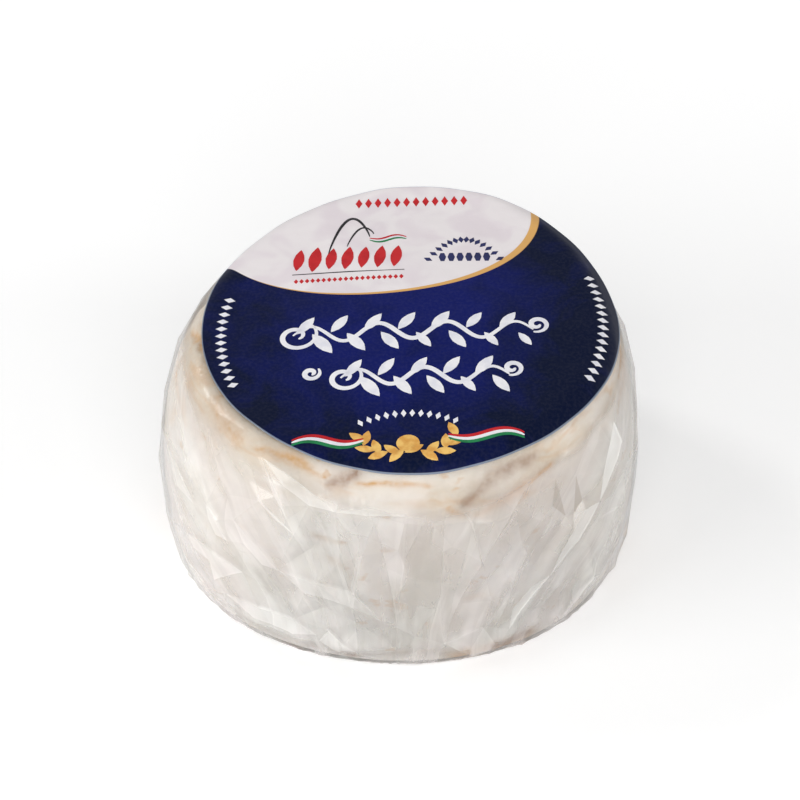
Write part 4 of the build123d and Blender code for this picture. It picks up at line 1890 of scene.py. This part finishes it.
    @staticmethod
    def traced(steps: int, rule: Callable[[float], Flat]) -> tuple[Flat, ...]:
        """Follows a rule, which gives a place for each share of the way, in even steps."""
        return tuple(rule(step / steps) for step in range(steps + 1))

    def stem(self, left: float, right: float, level: float, swing: float, turns: float) -> Stroke:
        """Draws a waving stem.

        Args:
            left: Where it starts.
            right: Where it ends.
            level: Its middle.
            swing: How far it waves.
            turns: How many waves it has.

        Returns:
            The stem.
        """
        line = self.traced(96, lambda share: (left + (right - left) * share,
                                              level + swing * sin(tau * turns * share)))
        return Stroke(Ink.WHITE, line, 0.026, 0.35)

    def curl(self, middle: Flat, size: float, start: float, way: int) -> Stroke:
        """Draws a tendril's curl.

        Args:
            middle: Its middle.
            size: Its outer radius.
            start: The angle at which it starts, in degrees.
            way: 1 to curl anticlockwise, -1 to curl clockwise.

        Returns:
            The curl.
        """
        def rule(share: float) -> Flat:
            """Winds inwards."""
            reach = size * (1 - 0.80 * share)
            angle = radians(start) + way * share * tau * 1.3
            return middle[0] + reach * cos(angle), middle[1] + reach * sin(angle)

        return Stroke(Ink.WHITE, self.traced(56, rule), 0.026, 0.3)

    def arch(self, start: Flat, end: Flat, rise: float, width: float) -> Stroke:
        """Draws a plain black arch.

        Args:
            start: Where it starts.
            end: Where it ends.
            rise: How high it stands.
            width: Its widest line.

        Returns:
            The arch.
        """
        line = self.traced(36, lambda share: (
            start[0] + (end[0] - start[0]) * share,
            start[1] + (end[1] - start[1]) * share + rise * sin(pi * share) ** 0.8))
        return Stroke(Ink.BLACK, line, width, 0.3)

    def ribbon(self, ink: Ink, left: float, right: float, level: float, way: int, size: float,
               drop: float) -> Stroke:
        """Draws one band of a waved ribbon.

        Args:
            ink: The band's ink.
            left: Where it starts.
            right: Where it ends.
            level: Its middle.
            way: 1 to rise first, -1 to fall first.
            size: Its scale.
            drop: The band's place across the ribbon.

        Returns:
            The band.
        """
        def rule(share: float) -> Flat:
            """Waves along the ribbon, which is widest half way."""
            rise = 0.022 * sin(tau * share) * way * size
            spread = drop * size * (0.6 + 0.4 * sin(pi * share))
            return left + (right - left) * share, level + rise + spread

        return Stroke(ink, self.traced(40, rule), 0.022 * size, 0.25)

    @staticmethod
    def stroke_faces(stroke: Stroke) -> tuple[np.ndarray, list[list[int]]]:
        """Gives a line its width.

        Args:
            stroke: The line.

        Returns:
            The flat places and the faces.
        """
        line = np.array(stroke.points)
        ahead = np.gradient(line, axis=0)
        ahead /= np.linalg.norm(ahead, axis=1, keepdims=True)
        beside = np.stack([-ahead[:, 1], ahead[:, 0]], -1)
        share = np.linspace(0, 1, len(line))
        half = stroke.width / 2 * (stroke.thin + (1 - stroke.thin) * np.sin(pi * share) ** 0.6)
        flat = np.concatenate([line - beside * half[:, None], line + beside * half[:, None]])
        count = len(line)
        faces = [[step, step + 1, count + step + 1, count + step] for step in range(count - 1)]
        return flat, faces

    def build(self) -> list[bpy.types.Object]:
        """Builds one printed piece for each ink.

        Returns:
            The printed pieces.
        """
        tree = self.row_tree()
        inks = {ink: ink.value.build() for ink in Ink}
        layers: dict[Ink, list[tuple[np.ndarray, list[list[int]], float]]] = {ink: [] for ink in Ink}
        for number, row in enumerate(self.rows):
            flat, faces = self.row_piece(tree, row, inks[row.ink], number)
            layers[row.ink].append((flat, faces, self.face_gap))
        for stroke in self.strokes():
            flat, faces = self.stroke_faces(stroke)
            layers[stroke.ink].append((flat, faces, stroke.above))
        pieces = []
        for ink, shapes in layers.items():
            upper, lower, faces, first = [], [], [], 0
            for flat, shape_faces, above in shapes:
                upper.append(self.label.face(flat, above))
                lower.append(self.label.face(flat, -self.sink))
                faces += [[corner + first for corner in face] for face in shape_faces]
                first += len(flat)
            name = "printed_" + ink.name.lower()
            mesh = closed_sheet(name, np.concatenate(upper), np.concatenate(lower), faces)
            piece = plain_object(name, mesh)
            piece.data.materials.append(inks[ink])
            pieces.append(piece)
        return pieces


@dataclass(frozen=True)
class Lamp:
    """A soft square lamp: where it stands, its side in metres and its power in watts."""

    name: str
    place: Space
    side: float
    power: float

    def light(self, aim: Vector) -> None:
        """Sets the lamp up, facing the aim."""
        data = bpy.data.lights.new(self.name, "AREA")
        data.shape = "SQUARE"
        data.size = self.side
        data.energy = self.power
        lamp = bpy.data.objects.new(self.name, data)
        lamp.location = self.place
        lamp.rotation_euler = (aim - Vector(self.place)).to_track_quat("-Z", "Y").to_euler()
        bpy.context.scene.collection.objects.link(lamp)


@dataclass
class Studio:
    """A white floor, a white surround, big soft lamps and the camera."""

    distance: float = 0.6
    elevation: float = 42.2
    lens: float = 144.8
    sensor: float = 36.0
    aim: Space = (0.0, 0.0, 0.020)
    shift: Flat = (0.00175, 0.0349)
    half: float = 4.0
    paint: Colour = (0.92, 0.92, 0.92, 1.0)
    glow: Step = (0.05, 0.60, 0.20, 0.68)
    soft_world: float = 0.42
    mirrored_world: float = 0.43
    lamps: tuple[Lamp, ...] = (
        Lamp("key_left", (-0.82, -0.47, 0.30), 0.70, 5.4),
        Lamp("front_high", (0.08, -0.86, 0.60), 0.70, 3.5),
        Lamp("right", (0.75, -0.25, 0.35), 0.28, 1.6),
        Lamp("top_back", (-0.70, 0.35, 0.75), 0.20, 1.7),
    )

    def surround(self) -> None:
        """Makes the world white to the camera, and softer as a light and in reflections."""
        world = bpy.data.worlds.new("white_surround")
        bpy.context.scene.world = world
        world.use_nodes = True
        world.node_tree.nodes.clear()
        graph = Graph(world.node_tree)
        path = graph.add("ShaderNodeLightPath")
        seen = graph.math("MAXIMUM", path.outputs["Is Camera Ray"], path.outputs["Is Transmission Ray"])
        mirrored = graph.times_plus(path.outputs["Is Glossy Ray"], self.mirrored_world, self.soft_world)
        strength = graph.math("MAXIMUM", seen, mirrored)
        back = graph.add("ShaderNodeBackground", {"Color": WHITE, "Strength": strength}).outputs[0]
        graph.add("ShaderNodeOutputWorld", {"Surface": back})

    def floor(self) -> bpy.types.Object:
        """Makes the white floor that keeps the shadow, and whitens with distance to the camera only.

        Returns:
            The floor's object.
        """
        half = self.half
        mesh = bpy.data.meshes.new("floor")
        corners = [(-half, -half, 0), (half, -half, 0), (half, half, 0), (-half, half, 0)]
        mesh.from_pydata(corners, [], [(0, 1, 2, 3)])
        made = plain_object("floor", mesh)
        finish = Finish("white_floor")
        graph = finish.graph
        path = graph.add("ShaderNodeLightPath")
        matt = graph.add("ShaderNodeBsdfDiffuse", {"Color": self.paint}).outputs[0]
        away = graph.add("ShaderNodeVectorMath", {0: finish.place()}, operation="LENGTH").outputs["Value"]
        glow = graph.times(path.outputs["Is Camera Ray"], graph.step(away, *self.glow))
        glow = graph.add("ShaderNodeEmission", {"Color": WHITE, "Strength": glow}).outputs[0]
        both = graph.add("ShaderNodeAddShader", {0: matt, 1: glow}).outputs[0]
        made.data.materials.append(finish.end(both))
        return made

    def build(self) -> None:
        """Sets up the camera, the light and the floor."""
        rise = radians(self.elevation)
        aim = Vector(self.aim)
        data = bpy.data.cameras.new("view")
        data.lens = self.lens
        data.sensor_width = self.sensor
        data.shift_x, data.shift_y = self.shift
        camera = bpy.data.objects.new("view", data)
        camera.location = aim + Vector((0.0, -cos(rise), sin(rise))) * self.distance
        camera.rotation_euler = (radians(90) - rise, 0.0, 0.0)
        bpy.context.scene.collection.objects.link(camera)
        bpy.context.scene.camera = camera
        bpy.context.scene.view_settings.view_transform = "Standard"
        self.surround()
        self.floor()
        for lamp in self.lamps:
            lamp.light(aim)


def main() -> None:
    """Builds every piece in order, hangs it on the root, hides the solid part it replaces, and logs its
    faces.
    """
    logging.basicConfig(level=logging.INFO, format="%(message)s")
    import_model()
    low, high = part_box("cheese")
    form = WheelForm().centred(low, high)
    label = RoundLabel(form)
    film = FilmWrap(form, label.middle, label.radius).build()
    made = [
        (CheeseWheel(form).build(), "cheese", "rind"),
        (film, "film", "film"),
        (label.build(), "label", "label"),
    ]
    made += [(piece, None, "label") for piece in LabelPrint(label).build()]
    for piece, node, slot in made:
        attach(piece, "root")
        if node:
            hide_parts(node)
        log.info("%s: %d faces", piece.name, len(piece.data.polygons))
    Studio().build()


if __name__ == "__main__":
    main()
